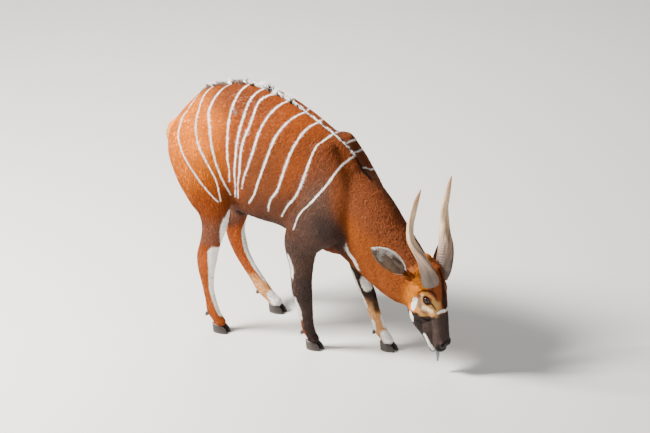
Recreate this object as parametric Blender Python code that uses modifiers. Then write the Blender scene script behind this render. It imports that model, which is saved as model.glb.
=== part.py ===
"""A bongo antelope with its head down to drink, life size: head, neck, torso, tail, legs, hooves, ears, eyes and horns.

The stance frame is metres with +X ahead of the animal, +Y to its left and +Z up, and its floor is z = 0. The flesh is
lofted limb by limb, fused, and parted again with thin cuts. At the end all of it moves by STANCE_CENTRE, which sets
the origin in the middle of the object's footprint.
"""

import math

import bmesh
import bpy
import numpy as np
from mathutils import Matrix, Vector

STANCE_CENTRE = Vector((0.1004, 0.0242, 0.0))
GAP = 0.0003  # what touching nodes keep between them
RING_POINTS = 32
UP = Vector((0, 0, 1))
AHEAD = Vector((1, 0, 0))

# The face line runs down the front of the head from the poll. Head places are (down the face, to the left, forward).
POLL = Vector((0.871, 0.0, 0.600))
FACE_LEAN = math.radians(6.3)
FACE_DOWN = Vector((math.sin(FACE_LEAN), 0, -math.cos(FACE_LEAN)))
FACE_OUT = Vector((math.cos(FACE_LEAN), 0, math.sin(FACE_LEAN)))
EYE_RADIUS = 0.0195
EYE_PLACE = (0.203, 0.0575, -0.062)
HOOF_LENGTH = 0.082
HOOF_WIDTH = 0.031
HOOF_HEIGHT = 0.040

BODY_VOXEL = 0.0085
HEAD_VOXEL = 0.0046
BODY_FACES = 5000
HEAD_FACES = 2500

EAR_STEPS = 11
EAR_ACROSS = 8
EAR_HALF_WIDTH = 0.052
EAR_THICKNESS = 0.0045
# Each ear by its side: its root, its tip and the way that its cup faces.
EARS = {
    -1: ((0.757, -0.088, 0.500), (0.620, -0.232, 0.674), (0.781, -0.616, 0.104)),
    1: ((0.755, 0.085, 0.500), (0.728, 0.290, 0.535), (0.90, 0.10, 0.42)),
}
HOOF_LEAN = 0.20

# Each row of a loft is x, y, z, half width to the side, reach to the front, reach to the back, where a trunk's front
# is its top and a leg's is the way that it walks.
TRUNK = (
    (-0.680, 0, 0.925, 0.045, 0.030, 0.070),
    (-0.655, 0, 0.930, 0.072, 0.070, 0.100),
    (-0.600, 0, 0.935, 0.112, 0.140, 0.150),
    (-0.540, 0, 0.930, 0.140, 0.215, 0.200),
    (-0.460, 0, 0.920, 0.160, 0.287, 0.235),
    (-0.370, 0, 0.900, 0.175, 0.340, 0.255),
    (-0.270, 0, 0.880, 0.190, 0.390, 0.275),
    (-0.140, 0, 0.860, 0.203, 0.410, 0.275),
    (0.000, 0, 0.840, 0.208, 0.395, 0.262),
    (0.100, 0, 0.820, 0.200, 0.373, 0.278),
    (0.180, 0, 0.790, 0.188, 0.365, 0.272),
    (0.260, 0, 0.770, 0.175, 0.343, 0.274),
    (0.330, 0, 0.750, 0.154, 0.322, 0.252),
    (0.400, 0, 0.730, 0.128, 0.268, 0.222),
    (0.460, 0, 0.710, 0.095, 0.185, 0.165),
)
NECK = (
    (0.250, 0, 0.850, 0.148, 0.196, 0.260),
    (0.340, 0, 0.765, 0.152, 0.206, 0.262),
    (0.430, 0, 0.680, 0.147, 0.205, 0.222),
    (0.520, 0, 0.590, 0.132, 0.194, 0.188),
    (0.610, 0, 0.515, 0.114, 0.178, 0.172),
    (0.690, 0, 0.460, 0.098, 0.158, 0.160),
    (0.755, 0, 0.428, 0.083, 0.139, 0.128),
)
NECK_DORSAL = Vector((0.68, 0, 0.73))

# Rows of the head's lofts are down the face, forward, half width, reach forward, reach back.
SKULL = (
    (0.018, -0.090, 0.042, 0.030, 0.050),
    (0.055, -0.088, 0.066, 0.064, 0.070),
    (0.100, -0.080, 0.074, 0.077, 0.075),
    (0.160, -0.070, 0.076, 0.072, 0.072),
    (0.210, -0.060, 0.069, 0.064, 0.065),
    (0.260, -0.050, 0.056, 0.054, 0.055),
    (0.320, -0.042, 0.046, 0.045, 0.046),
    (0.380, -0.040, 0.041, 0.041, 0.045),
    (0.430, -0.043, 0.043, 0.039, 0.040),
    (0.460, -0.050, 0.038, 0.031, 0.030),
)
JAW = (
    (0.190, -0.152, 0.050, 0.058, 0.066),
    (0.250, -0.158, 0.050, 0.056, 0.060),
    (0.300, -0.155, 0.046, 0.056, 0.055),
    (0.330, -0.148, 0.042, 0.054, 0.050),
    (0.370, -0.128, 0.036, 0.046, 0.039),
    (0.410, -0.109, 0.034, 0.034, 0.027),
    (0.445, -0.099, 0.032, 0.026, 0.019),
    (0.472, -0.094, 0.027, 0.018, 0.014),
)

# Rows of a leg go from where it leaves the trunk's flesh down to the coronet.
LEGS = {
    "fore_right": (
        (0.225, -0.076, 1.044, 0.054, 0.088, 0.120),
        (0.258, -0.094, 0.966, 0.058, 0.104, 0.150),
        (0.290, -0.109, 0.885, 0.060, 0.118, 0.155),
        (0.275, -0.132, 0.800, 0.064, 0.145, 0.175),
        (0.235, -0.146, 0.700, 0.070, 0.160, 0.160),
        (0.185, -0.150, 0.620, 0.064, 0.120, 0.110),
        (0.160, -0.146, 0.555, 0.055, 0.096, 0.096),
        (0.155, -0.140, 0.503, 0.048, 0.080, 0.084),
        (0.154, -0.133, 0.440, 0.041, 0.066, 0.068),
        (0.149, -0.125, 0.370, 0.037, 0.058, 0.060),
        (0.147, -0.117, 0.308, 0.038, 0.056, 0.058),
        (0.152, -0.110, 0.250, 0.031, 0.050, 0.052),
        (0.159, -0.102, 0.190, 0.025, 0.041, 0.044),
        (0.163, -0.095, 0.137, 0.025, 0.034, 0.038),
        (0.168, -0.088, 0.098, 0.029, 0.031, 0.038),
        (0.180, -0.082, 0.068, 0.028, 0.026, 0.028),
        (0.190, -0.078, 0.046, 0.032, 0.028, 0.030),
    ),
    "fore_left": (
        (0.240, 0.078, 1.050, 0.054, 0.090, 0.120),
        (0.272, 0.096, 0.975, 0.058, 0.102, 0.150),
        (0.312, 0.110, 0.890, 0.060, 0.112, 0.155),
        (0.335, 0.132, 0.800, 0.064, 0.125, 0.150),
        (0.320, 0.146, 0.700, 0.070, 0.130, 0.150),
        (0.275, 0.150, 0.610, 0.062, 0.100, 0.100),
        (0.262, 0.148, 0.540, 0.050, 0.068, 0.070),
        (0.283, 0.142, 0.450, 0.041, 0.050, 0.050),
        (0.312, 0.137, 0.370, 0.036, 0.040, 0.040),
        (0.343, 0.133, 0.306, 0.036, 0.040, 0.040),
        (0.372, 0.129, 0.255, 0.031, 0.041, 0.042),
        (0.403, 0.122, 0.195, 0.025, 0.034, 0.036),
        (0.438, 0.116, 0.125, 0.025, 0.031, 0.034),
        (0.456, 0.113, 0.093, 0.029, 0.030, 0.037),
        (0.480, 0.110, 0.066, 0.028, 0.026, 0.028),
        (0.500, 0.107, 0.046, 0.032, 0.028, 0.030),
    ),
    "hind_right": (
        (-0.420, -0.088, 1.095, 0.042, 0.080, 0.090),
        (-0.430, -0.112, 1.020, 0.066, 0.150, 0.170),
        (-0.428, -0.132, 0.930, 0.076, 0.190, 0.192),
        (-0.405, -0.150, 0.830, 0.078, 0.185, 0.164),
        (-0.365, -0.166, 0.730, 0.070, 0.145, 0.128),
        (-0.328, -0.172, 0.640, 0.056, 0.090, 0.096),
        (-0.326, -0.172, 0.571, 0.046, 0.072, 0.076),
        (-0.340, -0.171, 0.505, 0.039, 0.057, 0.060),
        (-0.358, -0.168, 0.440, 0.036, 0.052, 0.057),
        (-0.372, -0.164, 0.378, 0.036, 0.052, 0.060),
        (-0.378, -0.162, 0.330, 0.032, 0.047, 0.052),
        (-0.377, -0.158, 0.265, 0.026, 0.036, 0.038),
        (-0.370, -0.155, 0.205, 0.023, 0.029, 0.031),
        (-0.357, -0.153, 0.150, 0.024, 0.028, 0.032),
        (-0.344, -0.151, 0.105, 0.029, 0.029, 0.038),
        (-0.326, -0.147, 0.070, 0.028, 0.026, 0.028),
        (-0.312, -0.143, 0.046, 0.032, 0.028, 0.030),
    ),
    "hind_left": (
        (-0.420, 0.088, 1.095, 0.042, 0.080, 0.090),
        (-0.430, 0.112, 1.020, 0.066, 0.150, 0.165),
        (-0.428, 0.138, 0.930, 0.076, 0.185, 0.190),
        (-0.405, 0.162, 0.830, 0.078, 0.175, 0.164),
        (-0.375, 0.182, 0.730, 0.070, 0.135, 0.128),
        (-0.380, 0.192, 0.640, 0.057, 0.092, 0.098),
        (-0.408, 0.197, 0.550, 0.044, 0.062, 0.070),
        (-0.432, 0.200, 0.465, 0.036, 0.046, 0.058),
        (-0.444, 0.201, 0.390, 0.036, 0.046, 0.060),
        (-0.432, 0.203, 0.330, 0.033, 0.046, 0.052),
        (-0.410, 0.206, 0.270, 0.027, 0.040, 0.043),
        (-0.372, 0.209, 0.210, 0.024, 0.036, 0.037),
        (-0.333, 0.211, 0.161, 0.025, 0.034, 0.037),
        (-0.290, 0.214, 0.108, 0.029, 0.033, 0.039),
        (-0.250, 0.217, 0.072, 0.028, 0.027, 0.030),
        (-0.222, 0.220, 0.048, 0.032, 0.028, 0.030),
    ),
}
# Where each foot stands, its middle under the two claws.
FEET = {
    "fore_right": (0.198, -0.077),
    "fore_left": (0.510, 0.106),
    "hind_right": (-0.302, -0.142),
    "hind_left": (-0.212, 0.221),
}
# How each leg is parted: the middle of the flat at its top, that flat's length and width, how low the upright flat
# between it and the trunk reaches, and then the place and lean of the slab through its knee or hock.
LEG_CUTS = (
    ("fore_right", (0.118, -0.1630, 0.525), 0.280, 0.150, 0.440, (0.148, -0.116, 0.305), (0.00, 0, 1)),
    ("fore_left", (0.272, 0.1700, 0.545), 0.260, 0.150, 0.440, (0.345, 0.133, 0.302), (-0.55, 0, 1)),
    ("hind_right", (-0.325, -0.1850, 0.640), 0.270, 0.170, 0.540, (-0.374, -0.164, 0.372), (0.10, 0, 1)),
    ("hind_left", (-0.375, 0.1950, 0.640), 0.280, 0.190, 0.540, (-0.445, 0.201, 0.375), (-0.25, 0, 1)),
)
# The middle of each fetlock's back, for its two dewclaws.
DEWCLAWS = {
    "fore_right": (0.137, -0.089, 0.082),
    "fore_left": (0.424, 0.113, 0.078),
    "hind_right": (-0.376, -0.151, 0.087),
    "hind_left": (-0.318, 0.213, 0.090),
}
NECK_BASE = ((0.465, 0, 0.68), (0.986, 0, -0.168))
NAPE = ((0.704, 0, 0.44), (0.995, 0, -0.096))
TAIL = (
    (-0.640, 0.000, 0.985, 0.030, 0.028, 0.028),
    (-0.685, 0.003, 0.945, 0.025, 0.022, 0.022),
    (-0.700, 0.008, 0.890, 0.019, 0.016, 0.016),
    (-0.682, 0.018, 0.810, 0.015, 0.013, 0.013),
    (-0.645, 0.031, 0.730, 0.013, 0.012, 0.012),
    (-0.608, 0.045, 0.650, 0.012, 0.011, 0.011),
    (-0.580, 0.057, 0.590, 0.009, 0.008, 0.008),
)
# Rows of the right horn are x, y, z, half its thickness to the side, reach forward and back: the left one mirrors it.
HORN = (
    (0.8420, -0.052, 0.468, 0.028, 0.037, 0.037),
    (0.8430, -0.060, 0.500, 0.032, 0.044, 0.044),
    (0.8410, -0.077, 0.553, 0.029, 0.043, 0.043),
    (0.8303, -0.1035, 0.618, 0.025, 0.037, 0.037),
    (0.8099, -0.1285, 0.674, 0.023, 0.029, 0.029),
    (0.7960, -0.1500, 0.726, 0.020, 0.024, 0.024),
    (0.7947, -0.1535, 0.806, 0.018, 0.022, 0.022),
    (0.8105, -0.1510, 0.877, 0.016, 0.019, 0.019),
    (0.8270, -0.1450, 0.942, 0.011, 0.013, 0.013),
    (0.8440, -0.1370, 0.995, 0.003, 0.003, 0.003),
)
HORN_LEFT_SHARE = 0.955
HORN_FRONT = Vector((0.92, 0.38, 0.0))
HORN_TWIST = math.radians(150)
HORN_STEPS = 15
# Rows of the tongue are down the face, forward, half width, reach forward and reach back.
TONGUE = (
    (0.420, -0.087, 0.015, 0.0050, 0.0050),
    (0.450, -0.080, 0.016, 0.0050, 0.0050),
    (0.480, -0.073, 0.016, 0.0050, 0.0050),
    (0.510, -0.071, 0.014, 0.0045, 0.0045),
    (0.535, -0.075, 0.009, 0.0035, 0.0035),
)
CREST_LOCKS = 30
CREST_LENGTH = 0.040
TAIL_LOCKS = 14


def clear_scene():
    for thing in list(bpy.data.objects):
        bpy.data.objects.remove(thing)


def collection_named(name):
    made = bpy.data.collections.new(name)
    bpy.context.scene.collection.children.link(made)
    return made


def through(rows, steps):
    """Even steps along a smooth curve through the rows, whatever they hold after x, y, z."""
    rows = np.array(rows, float)
    gaps = np.linalg.norm(np.diff(rows[:, :3], axis=0), axis=1)
    reach = np.concatenate([[0], np.cumsum(gaps)])
    at = np.linspace(0, reach[-1], steps)
    slopes = np.gradient(rows, reach, axis=0)
    i = np.clip(np.searchsorted(reach, at, side="right") - 1, 0, len(rows) - 2)
    span = (reach[i + 1] - reach[i])[:, None]
    t = (at - reach[i])[:, None] / span
    start = (1 + 2 * t) * (1 - t) ** 2 * rows[i] + t * (1 - t) ** 2 * span * slopes[i]
    return start + t * t * (3 - 2 * t) * rows[i + 1] + t * t * (t - 1) * span * slopes[i + 1]


def unit(vectors):
    return vectors / np.linalg.norm(vectors, axis=-1, keepdims=True)


def loft(name, rows, front, steps=40, around=RING_POINTS, upright=None, twist=0.0, keel=0.0):
    """A closed tube whose rings follow the rows, with a rounded dome at each end."""
    rings = through(rows, steps)
    along = unit(np.gradient(rings[:, :3], axis=0))
    if upright is not None:
        along = np.tile(np.array(upright, float), (steps, 1))
    facing = np.array(front) - (along @ np.array(front))[:, None] * along
    facing = unit(facing)
    side = np.cross(facing, along)
    turn = np.linspace(0, twist, steps)[:, None]
    facing, side = facing * np.cos(turn) + side * np.sin(turn), side * np.cos(turn) - facing * np.sin(turn)
    angle = np.arange(around) * 2 * math.pi / around
    cos, sin = np.cos(angle), np.sin(angle)
    ridge = 1 + keel * np.maximum(sin, 0) ** 6

    def ring_at(i, scale, shift):
        reach = np.where(sin > 0, rings[i, 4], rings[i, 5]) * sin * scale * ridge
        centre = rings[i, :3] + along[i] * shift
        return centre + np.outer(cos * rings[i, 3] * scale, side[i]) + np.outer(reach, facing[i])

    bend = [math.radians(90 * k / 4) for k in range(1, 4)]
    first, last = 0.8 * rings[0, 3], 0.8 * rings[-1, 3]
    shells = [ring_at(0, math.cos(b), -first * math.sin(b)) for b in reversed(bend)]
    shells += [ring_at(i, 1, 0) for i in range(steps)]
    shells += [ring_at(steps - 1, math.cos(b), last * math.sin(b)) for b in bend]
    points = np.concatenate(shells)
    ends = (rings[0, :3] - along[0] * first, rings[-1, :3] + along[-1] * last)
    return tube(name, points, len(shells), around, ends)


def tube(name, points, rings, around, ends):
    """A closed mesh of rings of points, with a fan to each end point."""
    index = np.arange(rings * around).reshape(rings, around)
    after = np.roll(index, -1, axis=1)
    faces = np.stack([index[:-1], after[:-1], after[1:], index[1:]], axis=-1).reshape(-1, 4).tolist()
    top, bottom = rings * around, rings * around + 1
    faces += [(top, b, a) for a, b in zip(index[0], after[0])]
    faces += [(bottom, a, b) for a, b in zip(index[-1], after[-1])]
    mesh = bpy.data.meshes.new(name)
    mesh.from_pydata([*points.tolist(), *[list(e) for e in ends]], [], faces)
    shape = bmesh.new()
    shape.from_mesh(mesh)
    bmesh.ops.recalc_face_normals(shape, faces=shape.faces)
    bmesh.ops.triangulate(shape, faces=shape.faces)
    shape.to_mesh(mesh)
    shape.free()
    return mesh


def head_point(down, left, out):
    return POLL + down * FACE_DOWN + out * FACE_OUT + Vector((0, left, 0))


def head_rows(rows):
    return [(*head_point(down, 0, out), half, reach, back) for down, out, half, reach, back in rows]


def ball(name, centre, radii, turn=None, around=24, levels=14):
    """An ellipsoid, with its own axes turned by the matrix."""
    shape = bmesh.new()
    bmesh.ops.create_uvsphere(shape, u_segments=around, v_segments=levels, radius=1)
    place = Matrix.Translation(centre) @ (turn or Matrix()).to_4x4() @ Matrix.Diagonal((*radii, 1))
    bmesh.ops.transform(shape, matrix=place, verts=shape.verts)
    bmesh.ops.triangulate(shape, faces=shape.faces)
    mesh = bpy.data.meshes.new(name)
    shape.to_mesh(mesh)
    shape.free()
    return mesh


def head_turn():
    """The head's own axes: forward out of the face, left, and down the face."""
    return Matrix((FACE_OUT, Vector((0, 1, 0)), FACE_DOWN)).transposed()


def flesh_lofts():
    """The trunk, neck and legs, and the muscle that fills between them."""
    lofts = [loft("trunk", TRUNK, UP, upright=AHEAD), loft("neck", NECK, NECK_DORSAL)]
    lofts += [loft(name, rows, AHEAD, 60) for name, rows in LEGS.items()]
    return lofts


def head_lofts():
    """The skull, jaw, cheeks, brows, lids, ear roots, nostril wings and lips."""
    turn = head_turn()
    lofts = [
        loft("skull", head_rows(SKULL), FACE_OUT),
        loft("jaw", head_rows(JAW), FACE_OUT),
    ]
    for side in (-1, 1):
        lofts.append(ball("cheek", head_point(0.225, side * 0.036, -0.125), (0.066, 0.034, 0.105), turn))
        lofts.append(ball("brow", head_point(0.172, side * 0.052, -0.044), (0.028, 0.023, 0.042), turn))
        lofts.append(ball("jowl", head_point(0.325, side * 0.016, -0.098), (0.046, 0.028, 0.095), turn))
        lofts.append(ball("ear_root", head_point(0.075, side * 0.066, -0.120), (0.034, 0.034, 0.038), turn))
        lofts.append(ball("nostril_wing", head_point(0.437, side * 0.024, -0.022), (0.019, 0.019, 0.024), turn))
        lofts.append(lid_ring(side))
    return lofts


def eye_turn(side):
    """Axes at an eye: out of the socket, along its slit, and the way between."""
    out = Vector((0.42, side * 0.90, 0.10)).normalized()
    slit = (FACE_DOWN + FACE_OUT * 0.30).normalized()
    slit = (slit - slit.dot(out) * out).normalized()
    return Matrix((out, slit, out.cross(slit))).transposed()


def lid_ring(side):
    """The rolled rim of skin round an eye."""
    shape = bmesh.new()
    around, across = 20, 8
    ring = []
    for i in range(around):
        a = 2 * math.pi * i / around
        centre = Vector((0, 0.0240 * math.cos(a), 0.0185 * math.sin(a)))
        spoke = centre.normalized()
        ring.append([
            shape.verts.new(centre + 0.0060 * (spoke * math.cos(t) + Vector((math.sin(t), 0, 0))))
            for t in (2 * math.pi * j / across for j in range(across))
        ])
    for i in range(around):
        for j in range(across):
            far, next_j = (i + 1) % around, (j + 1) % across
            shape.faces.new((ring[i][j], ring[far][j], ring[far][next_j], ring[i][next_j]))
    bmesh.ops.recalc_face_normals(shape, faces=shape.faces)
    turn = eye_turn(side)
    centre = eye_centre(side) + turn @ Vector((EYE_RADIUS * 0.52, 0, 0))
    bmesh.ops.transform(shape, matrix=Matrix.Translation(centre) @ turn.to_4x4(), verts=shape.verts)
    mesh = bpy.data.meshes.new("lids")
    shape.to_mesh(mesh)
    shape.free()
    return mesh


def eye_centre(side):
    return head_point(EYE_PLACE[0], side * EYE_PLACE[1], EYE_PLACE[2])


def throat_loft():
    """The stretch of neck that the head's own surface has to meet."""
    return loft("throat", NECK, NECK_DORSAL)


def fused(name, meshes, voxel, faces, calm, calm_steps):
    """One closed surface round all the meshes, smoothed, and brought to about that many triangles."""
    joined = bmesh.new()
    for mesh in meshes:
        joined.from_mesh(mesh)
    whole = bpy.data.meshes.new(name)
    joined.to_mesh(whole)
    joined.free()
    shape = put(whole, name, bpy.context.scene.collection)
    remesh = shape.modifiers.new("skin", "REMESH")
    remesh.mode = "VOXEL"
    remesh.voxel_size = voxel
    settle(shape)
    weights = shape.vertex_groups.new(name="calm")
    for i, w in enumerate(calm(np.array([v.co for v in shape.data.vertices]))):
        weights.add([i], float(w), "REPLACE")
    smooth = shape.modifiers.new("calm", "SMOOTH")
    smooth.factor = 0.5
    smooth.iterations = calm_steps
    smooth.vertex_group = "calm"
    fewer = shape.modifiers.new("fewer", "DECIMATE")
    fewer.ratio = faces / (2 * len(shape.data.polygons))
    fewer.use_collapse_triangulate = True
    settle(shape)
    return shape


def put(mesh, name, collection):
    made = bpy.data.objects.new(name, mesh)
    collection.objects.link(made)
    return made


def settle(shape):
    """Puts the object's modifiers into its mesh."""
    bpy.context.view_layer.update()
    graph = bpy.context.evaluated_depsgraph_get()
    made = bpy.data.meshes.new_from_object(shape.evaluated_get(graph))
    shape.modifiers.clear()
    shape.data = made


def cut(shape, cutters, solver="EXACT"):
    """Takes each cutter's volume out of the shape."""
    for cutter in cutters:
        boolean = shape.modifiers.new(cutter.name, "BOOLEAN")
        boolean.operation = "DIFFERENCE"
        boolean.solver = solver
        boolean.object = cutter
    settle(shape)


def as_cutter(mesh, name, cutters):
    """An object that is only there to cut with."""
    made = put(mesh, name, cutters)
    made.hide_render = True
    made.display_type = "WIRE"
    return made


def block(name, centre, sizes, turn, cutters):
    """A box to cut with, its own axes turned by the matrix."""
    shape = bmesh.new()
    bmesh.ops.create_cube(shape, size=1)
    place = Matrix.Translation(centre) @ turn.to_4x4() @ Matrix.Diagonal((*sizes, 1))
    bmesh.ops.transform(shape, matrix=place, verts=shape.verts)
    mesh = bpy.data.meshes.new(name)
    shape.to_mesh(mesh)
    shape.free()
    return as_cutter(mesh, name, cutters)


def across(direction):
    """A turn whose third axis is the direction and whose second stays level."""
    third = Vector(direction).normalized()
    first = Vector((0, 1, 0)).cross(third).normalized()
    return Matrix((first, third.cross(first), third)).transposed()


def swollen(shape, name, cutters, by=GAP):
    """A copy of the shape, grown by the gap that touching nodes keep, to cut its seat with."""
    mesh = shape.data.copy()
    grown = bmesh.new()
    grown.from_mesh(mesh)
    grown.normal_update()
    for vert in grown.verts:
        vert.co += vert.normal * by * max(1.0, min(vert.calc_shell_factor(), 2.0))
    grown.to_mesh(mesh)
    grown.free()
    return as_cutter(mesh, name, cutters)


def islands(shape):
    """The separate closed surfaces of a mesh, largest first, as new meshes."""
    whole = bmesh.new()
    whole.from_mesh(shape.data)
    whole.verts.ensure_lookup_table()
    group = [-1] * len(whole.verts)
    sizes = []
    for start in whole.verts:
        if group[start.index] >= 0:
            continue
        mine, waiting = len(sizes), [start]
        group[start.index] = mine
        count = 0
        while waiting:
            vert = waiting.pop()
            count += 1
            for edge in vert.link_edges:
                other = edge.other_vert(vert)
                if group[other.index] < 0:
                    group[other.index] = mine
                    waiting.append(other)
        sizes.append(count)
    whole.free()
    made = []
    for g in sorted(range(len(sizes)), key=lambda k: -sizes[k]):
        piece = bmesh.new()
        piece.from_mesh(shape.data)
        piece.verts.ensure_lookup_table()
        bmesh.ops.delete(piece, geom=[v for v in piece.verts if group[v.index] != g], context="VERTS")
        mesh = bpy.data.meshes.new("piece")
        piece.to_mesh(mesh)
        piece.free()
        made.append(mesh)
    return made


def keep_largest(shape):
    shape.data = islands(shape)[0]


def nearest(meshes, place):
    """Which of the meshes has the place nearest to its middle, as the middle of its box."""
    def off(mesh):
        at = np.array([v.co for v in mesh.vertices])
        return np.linalg.norm((at.min(0) + at.max(0)) / 2 - np.array(place))
    return min(meshes, key=off)


def leg_cuts(cutters):
    """Thin slabs that part each leg from the trunk, above and on the inside, and go through its knee or hock."""
    made = []
    for name, top, long, wide, low, joint, lean in LEG_CUTS:
        made.append(block(f"{name}_top", top, (long, wide, GAP), Matrix.Identity(3), cutters))
        inner = math.copysign(abs(top[1]) - wide / 2 + GAP / 2, top[1])
        middle = (top[0], inner, (top[2] + low + GAP / 2) / 2)
        made.append(block(f"{name}_inner", middle, (long, GAP, top[2] - low + GAP / 2), Matrix.Identity(3), cutters))
        made.append(block(f"{name}_joint", joint, (0.19, 0.12, GAP), across(lean), cutters))
    return made


def claw(foot, side, name, collection):
    """One half of a hoof, flat beneath, with its inner side nearly straight."""
    x, y = foot
    outline = []
    for k in range(12):
        a = 2 * math.pi * k / 12
        ahead = math.cos(a)
        out = math.sin(a)
        width = HOOF_WIDTH * (0.56 if out > 0 else 0.34)
        outline.append((ahead * HOOF_LENGTH * 0.5, out * width * (1 - 0.34 * max(ahead, 0) ** 2)))
    levels = ((0.0, 1.0, 0.0), (0.006, 1.0, -0.001), (0.022, 0.93, -0.006), (0.040, 0.80, -0.0135))
    points = []
    for z, share, shift in levels:
        for dx, dy in outline:
            px = x + shift + dx * share
            lift = (px - x + 0.0135) * -HOOF_LEAN if z > 0.03 else 0.0
            points.append((px, y + side * (0.0172 + dy * share), z + lift))
    top = (x - 0.0135, y + side * 0.0172, 0.040)
    mesh = tube(name, np.array(points), len(levels), 12, ((x, y + side * 0.0172, 0.0), top))
    return put(mesh, name, collection)


def dewclaw(leg, side, name, collection):
    """A small false hoof behind the fetlock."""
    x, y, z = DEWCLAWS[leg]
    turn = Matrix.Rotation(math.radians(35), 3, "Y")
    shape = bmesh.new()
    bmesh.ops.create_uvsphere(shape, u_segments=8, v_segments=5, radius=1)
    place = Matrix.Translation((x, y + side * 0.013, z)) @ turn.to_4x4() @ Matrix.Diagonal((0.010, 0.008, 0.016, 1))
    bmesh.ops.transform(shape, matrix=place, verts=shape.verts)
    bmesh.ops.triangulate(shape, faces=shape.faces)
    mesh = bpy.data.meshes.new(name)
    shape.to_mesh(mesh)
    shape.free()
    return put(mesh, name, collection)


def horn(side, name, collection):
    rows = HORN
    front, twist = HORN_FRONT.copy(), HORN_TWIST
    if side > 0:
        seat = HORN[1][2]
        rows = [(r[0], -r[1], seat + (r[2] - seat) * HORN_LEFT_SHARE, *r[3:]) for r in HORN]
        front.y, twist = -front.y, -twist
    mesh = loft(name, rows, front, HORN_STEPS, 10, twist=twist, keel=0.14)
    return put(mesh, name, collection)


def ear(side, name, collection):
    """A leaf of an ear, rolled into a tube at its root and open to the side in front."""
    root, tip, opening = EARS[side]
    axis = (Vector(tip) - Vector(root)).normalized()
    length = (Vector(tip) - Vector(root)).length
    opens = Vector(opening)
    opens = (opens - opens.dot(axis) * axis).normalized()
    wide = axis.cross(opens) * side
    outer, inner = [], []
    for i in range(EAR_STEPS + 1):
        u = i / EAR_STEPS
        half = EAR_HALF_WIDTH * (0.42 + 1.30 * u * (1 - 0.40 * u)) * math.sqrt(max(1 - (u * 0.985) ** 4, 0.02))
        half = min(half, EAR_HALF_WIDTH * 1.02 * math.sqrt(max(1 - (u * 0.985) ** 3.2, 0.02)))
        bend = math.radians(150 - 92 * min(u / 0.55, 1.0))
        radius = half / math.sin(min(bend, math.pi / 2))
        lean = -0.006 * math.sin(math.pi * u)
        for j in range(EAR_ACROSS + 1):
            a = bend * (2 * j / EAR_ACROSS - 1)
            spot = Vector(root) + axis * (u * length)
            spoke = wide * math.sin(a) - opens * math.cos(a)
            rim = 1 - 0.6 * abs(2 * j / EAR_ACROSS - 1) ** 3
            middle = spot + opens * (radius + lean)
            outer.append(middle + spoke * (radius + EAR_THICKNESS / 2 * rim))
            inner.append(middle + spoke * (radius - EAR_THICKNESS / 2 * rim))
    rows, columns = EAR_STEPS + 1, EAR_ACROSS + 1
    shift = rows * columns
    faces = []
    for i in range(rows - 1):
        for j in range(columns - 1):
            a, b, c, d = i * columns + j, i * columns + j + 1, (i + 1) * columns + j + 1, (i + 1) * columns + j
            faces += [(a, b, c, d), (shift + d, shift + c, shift + b, shift + a)]
    for i in range(rows - 1):
        for j in (0, columns - 1):
            a, b = i * columns + j, (i + 1) * columns + j
            faces.append((a, b, shift + b, shift + a))
    for j in range(columns - 1):
        for i in (0, rows - 1):
            a, b = i * columns + j, i * columns + j + 1
            faces.append((a, b, shift + b, shift + a))
    mesh = bpy.data.meshes.new(name)
    mesh.from_pydata([list(p) for p in outer + inner], [], faces)
    shape = bmesh.new()
    shape.from_mesh(mesh)
    bmesh.ops.recalc_face_normals(shape, faces=shape.faces)
    bmesh.ops.triangulate(shape, faces=shape.faces)
    shape.to_mesh(mesh)
    shape.free()
    return put(mesh, name, collection)


def lock(root, out, tip, half, thick, facing):
    """One flat tapered lock of hair, from inside its node out to a point."""
    root, out, tip = Vector(root), Vector(out), Vector(tip)
    middle = (out + tip) / 2 + Vector(facing) * thick
    points, stations = [], ((root, 0.75), (out, 1.0), (middle, 0.72))
    for k, (place, share) in enumerate(stations):
        along = (tip - root).normalized()
        flat = Vector(facing) - Vector(facing).dot(along) * along
        flat.normalize()
        side = flat.cross(along)
        for j in range(4):
            a = math.pi * j / 2
            points.append(place + side * math.cos(a) * half * share + flat * math.sin(a) * thick * share)
    return tube("lock", np.array(points), 3, 4, (root - (out - root) * 0.05, tip))


def united(host, meshes):
    """Joins the host and all the locks into one closed surface."""
    extra = bpy.data.collections.new("locks")
    bpy.context.scene.collection.children.link(extra)
    for mesh in meshes:
        put(mesh, "lock", extra)
    boolean = host.modifiers.new("locks", "BOOLEAN")
    boolean.operation = "UNION"
    boolean.solver = "EXACT"
    boolean.operand_type = "COLLECTION"
    boolean.collection = extra
    settle(host)
    for thing in list(extra.objects):
        bpy.data.objects.remove(thing)
    bpy.data.collections.remove(extra)
    keep_largest(host)


def mouth_cutter(cutters):
    """A thin bent blade that parts the lips from the corner of the mouth to its front."""
    rows = ((0.366, -0.103, 0.060, 0.0016, 0.0016), (0.400, -0.093, 0.060, 0.0022, 0.0022),
            (0.440, -0.081, 0.060, 0.0026, 0.0026), (0.520, -0.062, 0.060, 0.0040, 0.0040))
    return as_cutter(loft("mouth", head_rows(rows), FACE_OUT, 8, 12), "mouth", cutters)


def nostril_cutter(side, cutters):
    turn = head_turn() @ Matrix.Rotation(side * math.radians(-28), 3, "X") @ Matrix.Rotation(math.radians(25), 3, "Y")
    return as_cutter(ball("nostril", head_point(0.448, side * 0.026, -0.012), (0.0055, 0.010, 0.012), turn),
                     f"nostril_{side}", cutters)


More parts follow.
